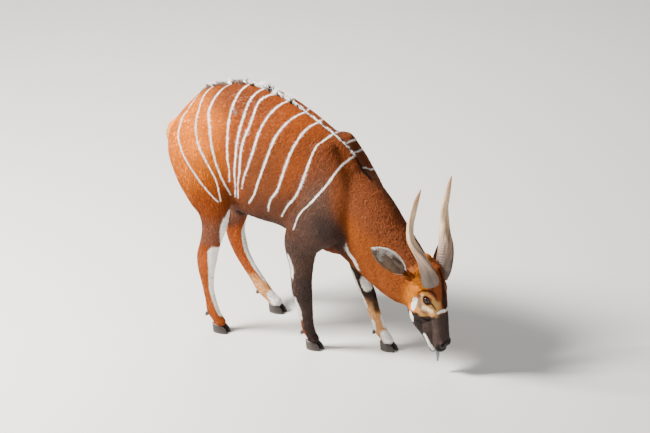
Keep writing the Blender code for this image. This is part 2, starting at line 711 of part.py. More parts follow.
def crest_locks(skin):
    """Short upright hair along the spine, each lock leaning back, taller over the loin than at the withers."""
    rng = np.random.default_rng(11)
    made = []
    for k in range(CREST_LOCKS):
        share = k / (CREST_LOCKS - 1)
        x = -0.50 + 0.80 * share
        y = (0.004 if k % 2 else -0.004) + rng.uniform(-0.002, 0.002)
        found, place, normal, _ = skin.ray_cast(Vector((x, y, 1.6)), Vector((0, 0, -1)))
        if not found:
            continue
        tall = CREST_LENGTH * (0.55 + 0.45 * math.sin(math.pi * min(1.0, 0.25 + share)) ** 0.7)
        lean = (normal + Vector((-0.75, 0, 0.1))).normalized()
        out = place + lean * 0.004
        tip = place + lean * tall * rng.uniform(0.9, 1.1) + Vector((0, rng.uniform(-0.004, 0.004), 0))
        made.append(lock(place - normal * 0.016, out, tip, 0.0105, 0.0048, (0, 1, 0)))
    return made


def tail_locks():
    """The tuft at the end of the tail."""
    rng = np.random.default_rng(12)
    line = through(TAIL, 40)
    made = []
    for k in range(TAIL_LOCKS):
        at = 22 + int(16 * k / (TAIL_LOCKS - 1))
        centre = Vector(line[at, :3])
        along = (Vector(line[at + 1, :3]) - Vector(line[at - 1, :3])).normalized()
        a = k * 2.4
        spoke = Vector((math.cos(a), math.sin(a), 0))
        spoke = (spoke - spoke.dot(along) * along).normalized()
        reach = rng.uniform(0.085, 0.125)
        out = centre + spoke * 0.007 + along * 0.010
        tip = centre + spoke * rng.uniform(0.012, 0.024) + along * reach
        made.append(lock(centre - along * 0.006, out, tip, 0.0085, 0.0050, spoke))
    return made


def material(name, colour, roughness, metallic=0.0):
    made = bpy.data.materials.new(name)
    made.use_nodes = True
    surface = made.node_tree.nodes["Principled BSDF"]
    surface.inputs["Base Color"].default_value = (*[linear(c) for c in colour], 1)
    surface.inputs["Roughness"].default_value = roughness
    surface.inputs["Metallic"].default_value = metallic
    return made


def linear(share):
    return share / 12.92 if share <= 0.04045 else ((share + 0.055) / 1.055) ** 2.4


COATS = {
    "torso": (0.62, 0.36, 0.20), "neck": (0.68, 0.41, 0.24), "head": (0.45, 0.27, 0.18),
    "ear": (0.58, 0.38, 0.25), "horn": (0.52, 0.45, 0.40), "eye": (0.05, 0.03, 0.02), "tail": (0.48, 0.26, 0.15),
    "upper_leg": (0.44, 0.27, 0.20), "lower_leg": (0.55, 0.37, 0.27), "claw": (0.16, 0.13, 0.12),
    "dewclaw": (0.18, 0.15, 0.13), "tongue": (0.50, 0.50, 0.58),
}
SHEENS = {"horn": 0.55, "eye": 0.08, "claw": 0.5, "dewclaw": 0.5, "tongue": 0.3}


def coated(shape, kind):
    """The node gets a surface of its own, named for it."""
    shape.data.materials.clear()
    shape.data.materials.append(material(f"{shape.name}_surface", COATS[kind], SHEENS.get(kind, 0.85)))


def calm_body(places):
    """How much of the smoothing each place takes: little on the thin lower legs."""
    return np.clip((places[:, 2] - 0.42) / 0.2, 0.12, 1)


def calm_head(places):
    return np.full(len(places), 0.55)


def flesh(animal, cutters):
    """The trunk, neck and legs as one surface, parted by slabs, and named by where each piece lies."""
    body = fused("body", flesh_lofts(), BODY_VOXEL, BODY_FACES, calm_body, 14)
    slabs = leg_cuts(cutters)
    slabs.append(block("neck_base", NECK_BASE[0], (0.9, 0.7, GAP), across(NECK_BASE[1]), cutters))
    beyond = Vector(NAPE[1]) * 0.25
    slabs.append(block("nape", Vector(NAPE[0]) + beyond, (0.9, 0.7, 0.5 + GAP), across(NAPE[1]), cutters))
    for name, (x, y) in FEET.items():
        lean = Vector((HOOF_LEAN, 0, 1)).normalized()
        slabs.append(block(f"{name}_coronet", Vector((x - 0.0135, y, 0.040 + GAP)) - lean * 0.05,
                           (0.2, 0.12, 0.1), across(lean), cutters))
    cut(body, slabs)
    pieces = islands(body)
    print("flesh pieces", [len(p.polygons) for p in pieces])
    places = {"torso": (-0.1, 0, 0.85), "neck": (0.58, 0, 0.6)}
    for leg, top, _, _, _, joint, _ in LEG_CUTS:
        middle = (Vector(top) + Vector(joint)) / 2
        foot = Vector((*FEET[leg], 0.04))
        places[f"upper_leg_{leg}"] = tuple(middle)
        places[f"lower_leg_{leg}"] = tuple((Vector(joint) + foot) / 2)
    nodes = {}
    for name, place in places.items():
        mesh = nearest(pieces, place)
        pieces.remove(mesh)
        nodes[name] = put(mesh, name, animal)
    bpy.data.objects.remove(body)
    return nodes


def build():
    clear_scene()
    animal, cutters = collection_named("bongo_antelope"), collection_named("cutters")
    nodes = flesh(animal, cutters)

    head = fused("head", [*head_lofts(), throat_loft()], HEAD_VOXEL, HEAD_FACES, calm_head, 6)
    animal.objects.link(head)
    bpy.context.scene.collection.objects.unlink(head)
    nodes["head"] = head
    behind = Vector(NAPE[0]) - Vector(NAPE[1]) * 0.5
    cut(head, [block("nape_behind", behind, (1.2, 0.8, 1.0), across(NAPE[1]), cutters)])
    cut(head, [mouth_cutter(cutters), nostril_cutter(-1, cutters), nostril_cutter(1, cutters)])
    keep_largest(head)

    fittings = []
    for side, word in ((1, "left"), (-1, "right")):
        eye = put(ball(f"eye_{word}", eye_centre(side), (EYE_RADIUS,) * 3, eye_turn(side), 14, 9), f"eye_{word}", animal)
        fittings += [eye, horn(side, f"horn_{word}", animal), ear(side, f"ear_{word}", animal)]
    tongue = put(loft("tongue", head_rows(TONGUE), FACE_OUT, 8, 8), "tongue", animal)
    fittings.append(tongue)
    cut(head, [swollen(thing, f"{thing.name}_seat", cutters) for thing in fittings])
    keep_largest(head)

    tail = put(loft("tail", TAIL, Vector((-1, 0, 0.3)), 12, 10), "tail", animal)
    cut(nodes["torso"], [swollen(tail, "tail_seat", cutters)])
    keep_largest(nodes["torso"])

    for leg, foot in FEET.items():
        for side, word in ((1, "left"), (-1, "right")):
            fittings.append(claw(foot, side, f"claw_{leg}_{word}", animal))
            spur = dewclaw(leg, side, f"dewclaw_{leg}_{word}", animal)
            cut(nodes[f"lower_leg_{leg}"], [swollen(spur, f"{spur.name}_seat", cutters)])
            fittings.append(spur)
        keep_largest(nodes[f"lower_leg_{leg}"])

    united(tail, tail_locks())
    skin = nodes["torso"]
    united(skin, crest_locks(skin))

    nodes["tail"] = tail
    for thing in fittings:
        nodes[thing.name] = thing
    for name, thing in nodes.items():
        coated(thing, next(kind for kind in sorted(COATS, key=len, reverse=True) if name.startswith(kind)))
        thing.data.transform(Matrix.Translation(-STANCE_CENTRE))
    for thing in cutters.objects:
        thing.data.transform(Matrix.Translation(-STANCE_CENTRE))
    print("triangles", sum(len(n.data.loop_triangles) or len(n.data.polygons) for n in nodes.values()))


build()
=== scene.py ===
import math

import bmesh
import bpy
import numpy as np
from mathutils import Matrix, Vector
from mathutils.bvhtree import BVHTree
from mathutils.kdtree import KDTree


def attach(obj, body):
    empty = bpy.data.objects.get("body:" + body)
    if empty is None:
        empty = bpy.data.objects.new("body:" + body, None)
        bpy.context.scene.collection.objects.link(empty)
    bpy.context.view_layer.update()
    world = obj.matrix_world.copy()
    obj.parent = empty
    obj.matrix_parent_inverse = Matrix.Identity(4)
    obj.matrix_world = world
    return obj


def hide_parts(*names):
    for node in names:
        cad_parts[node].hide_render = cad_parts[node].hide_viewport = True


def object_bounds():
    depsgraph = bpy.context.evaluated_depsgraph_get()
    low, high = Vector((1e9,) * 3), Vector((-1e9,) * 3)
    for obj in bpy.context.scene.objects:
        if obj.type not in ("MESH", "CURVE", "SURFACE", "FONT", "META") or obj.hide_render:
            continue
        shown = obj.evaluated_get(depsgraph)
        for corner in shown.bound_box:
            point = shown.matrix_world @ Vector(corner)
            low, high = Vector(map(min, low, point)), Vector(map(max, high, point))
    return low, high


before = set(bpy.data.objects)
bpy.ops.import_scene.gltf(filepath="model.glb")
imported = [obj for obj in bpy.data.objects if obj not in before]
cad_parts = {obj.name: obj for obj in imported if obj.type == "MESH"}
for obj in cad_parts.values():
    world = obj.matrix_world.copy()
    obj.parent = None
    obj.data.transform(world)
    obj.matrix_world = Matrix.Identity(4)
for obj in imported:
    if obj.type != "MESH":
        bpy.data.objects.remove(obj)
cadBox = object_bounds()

# The rows below are in the stance frame of the part, +X ahead and +Y to the animal's left, floor at z = 0.
# standsAt is where the middle of the footprint lies in it, and every mesh moves by it at the end.
standsAt = np.array((0.1004, 0.0242, 0.0))
up = Vector((0, 0, 1))
ahead = Vector((1, 0, 0))
thinning = 1
rng = np.random.default_rng(7)

skinBuild = {
    "voxel": 0.0033,  # head and lids need about 3 mm
    "triangles": 186000,
    "partVoxel": 0.0085, "partRounds": 14,  # how the part's own flesh was evened out between its lofts
    "coatDepthBody": 0.0042,
    "coatDepthLegs": 0.0026,
    "coatDepthHead": 0.0018,
}

# trunk and limb rows: x, y, z, half width, reach to the front (a trunk's top), reach to the back
trunkRows = (
    (-0.680, 0, 0.925, 0.045, 0.030, 0.070), (-0.655, 0, 0.930, 0.072, 0.070, 0.100),
    (-0.600, 0, 0.935, 0.112, 0.140, 0.150), (-0.540, 0, 0.930, 0.140, 0.215, 0.200),
    (-0.460, 0, 0.920, 0.160, 0.287, 0.235), (-0.370, 0, 0.900, 0.175, 0.340, 0.255),
    (-0.270, 0, 0.880, 0.190, 0.390, 0.275), (-0.140, 0, 0.860, 0.203, 0.410, 0.275),
    (0.000, 0, 0.840, 0.208, 0.395, 0.262), (0.100, 0, 0.820, 0.200, 0.373, 0.278),
    (0.180, 0, 0.790, 0.188, 0.365, 0.272), (0.260, 0, 0.770, 0.175, 0.343, 0.274),
    (0.330, 0, 0.750, 0.154, 0.322, 0.252), (0.400, 0, 0.730, 0.128, 0.268, 0.222),
    (0.460, 0, 0.710, 0.095, 0.185, 0.165),
)
neckRows = (
    (0.250, 0, 0.850, 0.148, 0.196, 0.260), (0.340, 0, 0.765, 0.152, 0.206, 0.262),
    (0.430, 0, 0.680, 0.147, 0.205, 0.222), (0.520, 0, 0.590, 0.132, 0.194, 0.188),
    (0.610, 0, 0.515, 0.114, 0.178, 0.172), (0.690, 0, 0.460, 0.098, 0.158, 0.160),
    (0.755, 0, 0.428, 0.083, 0.139, 0.128),
)
neckDorsal = Vector((0.68, 0, 0.73))
legRows = {
    "foreRight": (
        (0.225, -0.076, 1.044, 0.054, 0.088, 0.120), (0.258, -0.094, 0.966, 0.058, 0.104, 0.150),
        (0.290, -0.109, 0.885, 0.060, 0.118, 0.155), (0.275, -0.132, 0.800, 0.064, 0.145, 0.175),
        (0.235, -0.146, 0.700, 0.070, 0.160, 0.160),
        (0.185, -0.150, 0.620, 0.064, 0.120, 0.110), (0.160, -0.146, 0.555, 0.055, 0.096, 0.096),
        (0.155, -0.140, 0.503, 0.048, 0.080, 0.084), (0.154, -0.133, 0.440, 0.041, 0.066, 0.068),
        (0.149, -0.125, 0.370, 0.037, 0.058, 0.060), (0.147, -0.117, 0.308, 0.038, 0.056, 0.058),
        (0.152, -0.110, 0.250, 0.031, 0.050, 0.052), (0.159, -0.102, 0.190, 0.025, 0.041, 0.044),
        (0.163, -0.095, 0.137, 0.025, 0.034, 0.038), (0.168, -0.088, 0.098, 0.029, 0.031, 0.038),
        (0.180, -0.082, 0.068, 0.028, 0.026, 0.028), (0.190, -0.078, 0.046, 0.032, 0.028, 0.030),
    ),
    "foreLeft": (
        (0.240, 0.078, 1.050, 0.054, 0.090, 0.120), (0.272, 0.096, 0.975, 0.058, 0.102, 0.150),
        (0.312, 0.110, 0.890, 0.060, 0.112, 0.155), (0.335, 0.132, 0.800, 0.064, 0.125, 0.150),
        (0.320, 0.146, 0.700, 0.070, 0.130, 0.150),
        (0.275, 0.150, 0.610, 0.062, 0.100, 0.100), (0.262, 0.148, 0.540, 0.050, 0.068, 0.070),
        (0.283, 0.142, 0.450, 0.041, 0.050, 0.050), (0.312, 0.137, 0.370, 0.036, 0.040, 0.040),
        (0.343, 0.133, 0.306, 0.036, 0.040, 0.040), (0.372, 0.129, 0.255, 0.031, 0.041, 0.042),
        (0.403, 0.122, 0.195, 0.025, 0.034, 0.036), (0.438, 0.116, 0.125, 0.025, 0.031, 0.034),
        (0.456, 0.113, 0.093, 0.029, 0.030, 0.037), (0.480, 0.110, 0.066, 0.028, 0.026, 0.028),
        (0.500, 0.107, 0.046, 0.032, 0.028, 0.030),
    ),
    "hindRight": (
        (-0.420, -0.088, 1.095, 0.042, 0.080, 0.090), (-0.430, -0.112, 1.020, 0.066, 0.150, 0.170),
        (-0.428, -0.132, 0.930, 0.076, 0.190, 0.192), (-0.405, -0.150, 0.830, 0.078, 0.185, 0.164),
        (-0.365, -0.166, 0.730, 0.070, 0.145, 0.128), (-0.328, -0.172, 0.640, 0.056, 0.090, 0.096),
        (-0.326, -0.172, 0.571, 0.046, 0.072, 0.076), (-0.340, -0.171, 0.505, 0.039, 0.057, 0.060),
        (-0.358, -0.168, 0.440, 0.036, 0.052, 0.057), (-0.372, -0.164, 0.378, 0.036, 0.052, 0.060),
        (-0.378, -0.162, 0.330, 0.032, 0.047, 0.052), (-0.377, -0.158, 0.265, 0.026, 0.036, 0.038),
        (-0.370, -0.155, 0.205, 0.023, 0.029, 0.031), (-0.357, -0.153, 0.150, 0.024, 0.028, 0.032),
        (-0.344, -0.151, 0.105, 0.029, 0.029, 0.038), (-0.326, -0.147, 0.070, 0.028, 0.026, 0.028),
        (-0.312, -0.143, 0.046, 0.032, 0.028, 0.030),
    ),
    "hindLeft": (
        (-0.420, 0.088, 1.095, 0.042, 0.080, 0.090), (-0.430, 0.112, 1.020, 0.066, 0.150, 0.165),
        (-0.428, 0.138, 0.930, 0.076, 0.185, 0.190), (-0.405, 0.162, 0.830, 0.078, 0.175, 0.164),
        (-0.375, 0.182, 0.730, 0.070, 0.135, 0.128), (-0.380, 0.192, 0.640, 0.057, 0.092, 0.098),
        (-0.408, 0.197, 0.550, 0.044, 0.062, 0.070), (-0.432, 0.200, 0.465, 0.036, 0.046, 0.058),
        (-0.444, 0.201, 0.390, 0.036, 0.046, 0.060), (-0.432, 0.203, 0.330, 0.033, 0.046, 0.052),
        (-0.410, 0.206, 0.270, 0.027, 0.040, 0.043), (-0.372, 0.209, 0.210, 0.024, 0.036, 0.037),
        (-0.333, 0.211, 0.161, 0.025, 0.034, 0.037), (-0.290, 0.214, 0.108, 0.029, 0.033, 0.039),
        (-0.250, 0.217, 0.072, 0.028, 0.027, 0.030), (-0.222, 0.220, 0.048, 0.032, 0.028, 0.030),
    ),
}
legNodes = {"foreRight": "fore_right", "foreLeft": "fore_left", "hindRight": "hind_right",
            "hindLeft": "hind_left"}
feet = {"foreRight": (0.198, -0.077), "foreLeft": (0.510, 0.106), "hindRight": (-0.302, -0.142),
        "hindLeft": (-0.212, 0.221)}
spurPlaces = {"foreRight": (0.137, -0.089, 0.082), "foreLeft": (0.424, 0.113, 0.078),
              "hindRight": (-0.376, -0.151, 0.087), "hindLeft": (-0.318, 0.213, 0.090)}

# The face line runs down the front of the head; head places are (down the face, left, forward out of it).
poll = Vector((0.871, 0.0, 0.600))
faceLean = math.radians(6.3)
faceDown = Vector((math.sin(faceLean), 0, -math.cos(faceLean)))
faceOut = Vector((math.cos(faceLean), 0, math.sin(faceLean)))
headTurn = Matrix((faceOut, Vector((0, 1, 0)), faceDown)).transposed()
eyeball = {"radius": 0.0195, "place": (0.203, 0.0575, -0.062), "socket": (0.0205, 0.0165), "lidSeat": 0.52}
# skull and jaw rows: down the face, out of it, half width, reach out, reach back
skullRows = (
    (0.018, -0.090, 0.042, 0.030, 0.050), (0.055, -0.088, 0.066, 0.064, 0.070),
    (0.100, -0.080, 0.074, 0.077, 0.075), (0.160, -0.070, 0.076, 0.072, 0.072),
    (0.210, -0.060, 0.069, 0.064, 0.065), (0.260, -0.050, 0.056, 0.054, 0.055),
    (0.320, -0.042, 0.046, 0.045, 0.046), (0.380, -0.040, 0.041, 0.041, 0.045),
    (0.430, -0.043, 0.043, 0.039, 0.040), (0.460, -0.050, 0.038, 0.031, 0.030),
)
jawRows = (
    (0.190, -0.152, 0.050, 0.058, 0.066), (0.250, -0.158, 0.050, 0.056, 0.060),
    (0.300, -0.155, 0.046, 0.056, 0.055), (0.330, -0.148, 0.042, 0.054, 0.050),
    (0.370, -0.128, 0.036, 0.046, 0.039), (0.410, -0.109, 0.034, 0.034, 0.027),
    (0.445, -0.099, 0.032, 0.026, 0.019), (0.472, -0.094, 0.027, 0.018, 0.014),
)
jawLine = {"middle": 0.158, "reach": 0.066 * 0.6}  # how far back from the face line the jaw lies and reaches
# soft bulges of the head, mirrored to both sides: place, then half sizes out of the face, across and down it
headBulges = {
    "cheek": ((0.225, 0.036, -0.125), (0.066, 0.034, 0.105)),
    "brow": ((0.172, 0.052, -0.044), (0.028, 0.023, 0.042)),
    "jowl": ((0.325, 0.016, -0.098), (0.046, 0.028, 0.095)),
    "earRoot": ((0.075, 0.066, -0.120), (0.034, 0.034, 0.038)),
    "nostrilWing": ((0.437, 0.024, -0.022), (0.019, 0.019, 0.024)),
}


def through(rows, steps):  # even steps along a smooth curve through the rows
    rows = np.array(rows, float)
    gaps = np.linalg.norm(np.diff(rows[:, :3], axis=0), axis=1)
    reach = np.concatenate([[0], np.cumsum(gaps)])
    at = np.linspace(0, reach[-1], steps)
    slopes = np.gradient(rows, reach, axis=0)
    i = np.clip(np.searchsorted(reach, at, side="right") - 1, 0, len(rows) - 2)
    span = (reach[i + 1] - reach[i])[:, None]
    t = (at - reach[i])[:, None] / span
    start = (1 + 2 * t) * (1 - t) ** 2 * rows[i] + t * (1 - t) ** 2 * span * slopes[i]
    return start + t * t * (3 - 2 * t) * rows[i + 1] + t * t * (t - 1) * span * slopes[i + 1]


def unit(vectors):
    return vectors / np.maximum(np.linalg.norm(vectors, axis=-1, keepdims=True), 1e-9)


def smooth(share):
    share = np.clip(share, 0, 1)
    return share * share * (3 - 2 * share)


def cloud(places, size, seed=0):  # soft random values from -1 to 1 that change over about one size
    at = np.asarray(places, float) / size + seed * 31.7
    cell = np.floor(at)
    part = at - cell
    part = part * part * (3 - 2 * part)
    total = np.zeros(len(at))
    for corner in range(8):
        step = np.array([corner & 1, corner >> 1 & 1, corner >> 2 & 1])
        value = np.sin((cell + step) @ np.array([127.1, 311.7, 74.7]) + seed) * 43758.5453
        weight = np.prod(np.where(step, part, 1 - part), axis=1)
        total += (value - np.floor(value)) * weight
    return total * 2 - 1


def ringFrames(rows, front, steps, upright=None):
    rings = through(rows, steps)
    along = unit(np.gradient(rings[:, :3], axis=0))
    if upright is not None:
        along = np.tile(np.array(upright, float), (steps, 1))
    facing = unit(np.array(front) - (along @ np.array(front))[:, None] * along)
    return rings, along, facing, np.cross(facing, along)


def meshOf(shape, name):  # an open bmesh goes into a mesh
    mesh = bpy.data.meshes.new(name)
    shape.to_mesh(mesh)
    shape.free()
    return mesh


def closedMesh(name, points, faces):  # a mesh whose faces all look outward
    mesh = bpy.data.meshes.new(name)
    mesh.from_pydata(points, [], faces)
    shape = bmesh.new()
    shape.from_mesh(mesh)
    bmesh.ops.recalc_face_normals(shape, faces=shape.faces)
    shape.to_mesh(mesh)
    shape.free()
    return mesh


def tubeMesh(name, shells, ends):
    count, around = shells.shape[:2]
    index = np.arange(count * around).reshape(count, around)
    after = np.roll(index, -1, axis=1)
    faces = np.stack([index[:-1], after[:-1], after[1:], index[1:]], axis=-1).reshape(-1, 4).tolist()
    top, bottom = count * around, count * around + 1
    faces += [(top, b, a) for a, b in zip(index[0], after[0])]
    faces += [(bottom, a, b) for a, b in zip(index[-1], after[-1])]
    return closedMesh(name, [*shells.reshape(-1, 3).tolist(), *[list(e) for e in ends]], faces)


def loftMesh(name, rows, front, steps=40, around=32, upright=None):  # the part's own loft, domed at both ends
    rings, along, facing, side = ringFrames(rows, front, steps, upright)
    angle = np.arange(around) * 2 * math.pi / around
    cos, sin = np.cos(angle), np.sin(angle)

    def ringAt(i, scale, shift):
        reach = np.where(sin > 0, rings[i, 4], rings[i, 5]) * sin * scale
        centre = rings[i, :3] + along[i] * shift
        return centre + np.outer(cos * rings[i, 3] * scale, side[i]) + np.outer(reach, facing[i])

    bend = [math.radians(90 * k / 4) for k in range(1, 4)]
    first, last = 0.8 * rings[0, 3], 0.8 * rings[-1, 3]
    shells = [ringAt(0, math.cos(b), -first * math.sin(b)) for b in reversed(bend)]
    shells += [ringAt(i, 1, 0) for i in range(steps)]
    shells += [ringAt(steps - 1, math.cos(b), last * math.sin(b)) for b in bend]
    ends = (rings[0, :3] - along[0] * first, rings[-1, :3] + along[-1] * last)
    return tubeMesh(name, np.array(shells), ends)


def headPoint(down, left, out):
    return poll + down * faceDown + out * faceOut + Vector((0, left, 0))


def headRows(rows):
    return [(*headPoint(down, 0, out), half, reach, back) for down, out, half, reach, back in rows]


def headPlaces(places):  # down, left, out for many places
    off = places - np.array(poll)
    return np.stack([off @ np.array(faceDown), off[:, 1], off @ np.array(faceOut)], axis=1)


def ballMesh(name, centre, radii, turn, around=32, levels=20):
    shape = bmesh.new()
    bmesh.ops.create_uvsphere(shape, u_segments=around, v_segments=levels, radius=1)
    place = Matrix.Translation(centre) @ turn.to_4x4() @ Matrix.Diagonal((*radii, 1))
    bmesh.ops.transform(shape, matrix=place, verts=shape.verts)
    return meshOf(shape, name)


def eyeTurn(side):  # out of the socket, along the slit, and across it
    out = Vector((0.42, side * 0.90, 0.10)).normalized()
    slit = (faceDown + faceOut * 0.30).normalized()
    slit = (slit - slit.dot(out) * out).normalized()
    return Matrix((out, slit, out.cross(slit))).transposed()


def eyeCentre(side):
    down, left, out = eyeball["place"]
    return headPoint(down, side * left, out)


def lidRing(side, long=0.0240, wide=0.0185, thick=0.0060):  # the flesh round the eye, under the lids
    turn = eyeTurn(side)
    around, across = 28, 10
    shells = []
    shape = bmesh.new()
    for i in range(around):
        a = 2 * math.pi * i / around
        centre = Vector((0, long * math.cos(a), wide * math.sin(a)))
        spoke = centre.normalized()
        shells.append([shape.verts.new(centre + thick * (spoke * math.cos(t) + Vector((math.sin(t), 0, 0))))
                       for t in (2 * math.pi * j / across for j in range(across))])
    for i in range(around):
        for j in range(across):
            k, n = (i + 1) % around, (j + 1) % across
            shape.faces.new((shells[i][j], shells[k][j], shells[k][n], shells[i][n]))
    bmesh.ops.recalc_face_normals(shape, faces=shape.faces)
    centre = eyeCentre(side) + turn @ Vector((eyeball["radius"] * eyeball["lidSeat"], 0, 0))
    bmesh.ops.transform(shape, matrix=Matrix.Translation(centre) @ turn.to_4x4(), verts=shape.verts)
    return meshOf(shape, "lidRing")


def fleshMeshes():
    made = [loftMesh("trunk", trunkRows, up, upright=ahead), loftMesh("neck", neckRows, neckDorsal)]
    made += [loftMesh(name, rows, ahead, 60) for name, rows in legRows.items()]
    made += [loftMesh("skull", headRows(skullRows), faceOut), loftMesh("jaw", headRows(jawRows), faceOut)]
    for side in (-1, 1):
        for name, ((down, left, out), radii) in headBulges.items():
            made.append(ballMesh(name, headPoint(down, side * left, out), radii, headTurn))
        made.append(lidRing(side))
    return made


def link(mesh, name):
    made = bpy.data.objects.new(name, mesh)
    bpy.context.scene.collection.objects.link(made)
    return made


def settle(shape):  # the modifiers go into the mesh
    bpy.context.view_layer.update()
    graph = bpy.context.evaluated_depsgraph_get()
    made = bpy.data.meshes.new_from_object(shape.evaluated_get(graph))
    shape.modifiers.clear()
    shape.data = made


def placesOf(mesh):
    flat = np.empty(len(mesh.vertices) * 3)
    mesh.vertices.foreach_get("co", flat)
    return flat.reshape(-1, 3)


def normalsOf(mesh):
    flat = np.empty(len(mesh.vertices) * 3)
    mesh.vertex_normals.foreach_get("vector", flat)
    return flat.reshape(-1, 3)


def movePlaces(mesh, places):
    mesh.vertices.foreach_set("co", places.reshape(-1))
    mesh.update()


def headShare(places):  # 1 on the head, 0 on the neck, soft between them
    past = (places - np.array((0.735, 0, 0.43))) @ np.array((0.93, 0, -0.37))
    return smooth(past / 0.07 + 0.5) * (places[:, 0] > 0.55)


def legShare(places):  # 1 on the thin lower legs
    return smooth((0.62 - places[:, 2]) / 0.2) * (1 - headShare(places)) * (places[:, 0] < 0.56)


# Every part of the body as an axis with rings, for the lie of the coat, the unwrap and places on it.
partNames = ("trunk", "neck", "head", "foreRight", "foreLeft", "hindRight", "hindLeft")
axisSteps = 60
coatFlow = {"trunk": (-1.0, 0, -0.30), "rump": (-0.4, 0, -1.0), "neck": (-0.72, 0, 0.55)}


def partAxes():
    whole = []  # skull and jaw as one
    for down, out, half, reach, _ in skullRows:
        middle = (out + reach - jawLine["middle"] - jawLine["reach"]) / 2
        deep = 0.5 * (out + reach + jawLine["middle"] + jawLine["reach"])
        whole.append((down, middle, half, deep, deep))
    frames = {"trunk": ringFrames(trunkRows, up, axisSteps, ahead),
              "neck": ringFrames(neckRows, neckDorsal, axisSteps),
              "head": ringFrames(headRows(whole), faceOut, axisSteps)}
    made = {}
    for name in partNames:
        rings, along, facing, side = frames.get(name) or ringFrames(legRows[name], ahead, axisSteps)
        centre = rings[:, :3] + facing * ((rings[:, 4] - rings[:, 5]) / 2)[:, None]
        made[name] = {"centre": centre, "along": along, "facing": facing, "side": side,
                      "wide": rings[:, 3], "deep": (rings[:, 4] + rings[:, 5]) / 2,
                      "length": np.linalg.norm(rings[-1, :3] - rings[0, :3])}
    return made


axes = partAxes()


def onPart(places, name):  # how near to a part's axis, how far along it and at what angle round it
    part = axes[name]
    size = (part["wide"] + part["deep"]) / 2
    near, share, angle = (np.empty(len(places)) for _ in range(3))
    batch = 20000  # keeps the arrays small
    for start in range(0, len(places), batch):
        rows = slice(start, start + batch)
        off = places[rows][:, None, :] - part["centre"][None]
        f = np.einsum("nsk,sk->ns", off, part["facing"])
        s = np.einsum("nsk,sk->ns", off, part["side"])
        a = np.einsum("nsk,sk->ns", off, part["along"])
        gap = (f / part["deep"]) ** 2 + (s / part["wide"]) ** 2 + (a / size * 1.3) ** 2
        best = gap.argmin(axis=1)
        pick = np.arange(len(best))
        near[rows] = np.sqrt(gap[pick, best])
        share[rows] = (best + a[pick, best] / part["length"] * axisSteps) / (axisSteps - 1)
        angle[rows] = np.arctan2(s[pick, best], f[pick, best])
    return near, share, angle


def legPlace(name, z, angle):  # a place on a leg: 0 is its front, 90 its outside, 180 its back
    part = axes[name]
    i = np.abs(part["centre"][:, 2] - z).argmin()
    outward = math.copysign(1, part["centre"][i, 1])
    a = math.radians(angle)
    spoke = np.array((math.cos(a) * part["deep"][i], outward * math.sin(a) * part["wide"][i], 0))
    place = part["centre"][i] + spoke
    place[2] = z
    return place


# Marks of the coat. A stroke is a few places with a radius each, laid on the skin.
stripeMarks = {
    "angles": (2, 10, 30, 50, 70, 90, 110, 130),  # from the spine round to the belly
    "halfWidth": 0.0047,
    "lines": (  # how far ahead each white stripe lies at those angles
        (None, -0.505, -0.535, -0.536, -0.533, -0.495, -0.402, -0.281),
        (-0.440, -0.453, -0.454, -0.437, -0.408, -0.350, -0.293, -0.267),
        (-0.340, -0.368, -0.388, -0.358, -0.331, -0.302, -0.263, -0.233),
        (-0.232, -0.246, -0.258, -0.250, -0.243, -0.233, -0.233, None),
        (-0.145, -0.165, -0.181, -0.191, -0.192, -0.195, -0.199, -0.205),
        (-0.078, -0.115, -0.132, -0.159, -0.163, -0.166, -0.179, -0.189),
        (-0.005, -0.025, -0.071, -0.090, -0.111, -0.135, -0.153, None),
        (0.090, 0.071, 0.019, -0.007, -0.029, -0.053, -0.078, -0.125),
        (0.168, 0.152, 0.118, 0.095, 0.078, 0.057, 0.014, -0.012),
        (0.252, 0.244, 0.214, 0.196, 0.178, 0.154, 0.109, 0.065),
        (0.373, 0.368, 0.352, 0.326, 0.287, 0.246, 0.190, 0.153),
    ),
    "leftLines": (  # the left shoulder has more of them than the right one
        (0.320, 0.316, 0.300, 0.272, 0.240, 0.200, 0.150, 0.105),
        (0.362, 0.358, 0.345, 0.320, 0.286, 0.240, 0.190, None),
        (0.415, 0.414, 0.412, 0.395, 0.362, 0.310, None, None),
    ),
}


def surfaceTree(mesh):
    return BVHTree.FromPolygons([v.co[:] for v in mesh.vertices], [p.vertices[:] for p in mesh.polygons])


def onSkin(place):
    return skinTree.find_nearest(Vector(place))[0]


def bodyPlace(x, angle, side):  # where a line square to the trunk's axis comes out
    middle = Vector((x, 0, 0.85 - 0.15 * x))
    a = math.radians(angle)
    outside = middle + Vector((0, side * math.sin(a), math.cos(a))) * 1.3
    hit = skinTree.ray_cast(outside, middle - outside)[0]
    return hit or onSkin(outside)


def laid(rows, spacing=0.003):  # places along a curve, each set on the skin
    rows = np.array(rows, float)
    long = np.linalg.norm(np.diff(rows[:, :3], axis=0), axis=1).sum()
    samples = through(rows, max(3, int(long / spacing)))
    for row in samples:
        row[:3] = onSkin(row[:3])
    return samples


def stripeStrokes():
    made = []
    for side in (-1, 1):
        lines = stripeMarks["lines"] if side < 0 else stripeMarks["lines"][:-1] + stripeMarks["leftLines"]
        for line in lines:
            reached = [(x, a) for x, a in zip(line, stripeMarks["angles"]) if x is not None]
            controls = []
            for k, (x, a) in enumerate(reached):
                share = k / (len(reached) - 1)
                radius = stripeMarks["halfWidth"] * (0.75 + 0.35 * math.sin(math.pi * min(share * 1.1, 1)))
                controls.append((*bodyPlace(x, a, side), radius))
            made.append(laid(controls))
    return np.concatenate(made)


def treeOf(places):  # for finding the nearest of many places
    made = KDTree(len(places))
    for k, place in enumerate(places):
        made.insert(place[:3], k)
    made.balance()
    return made


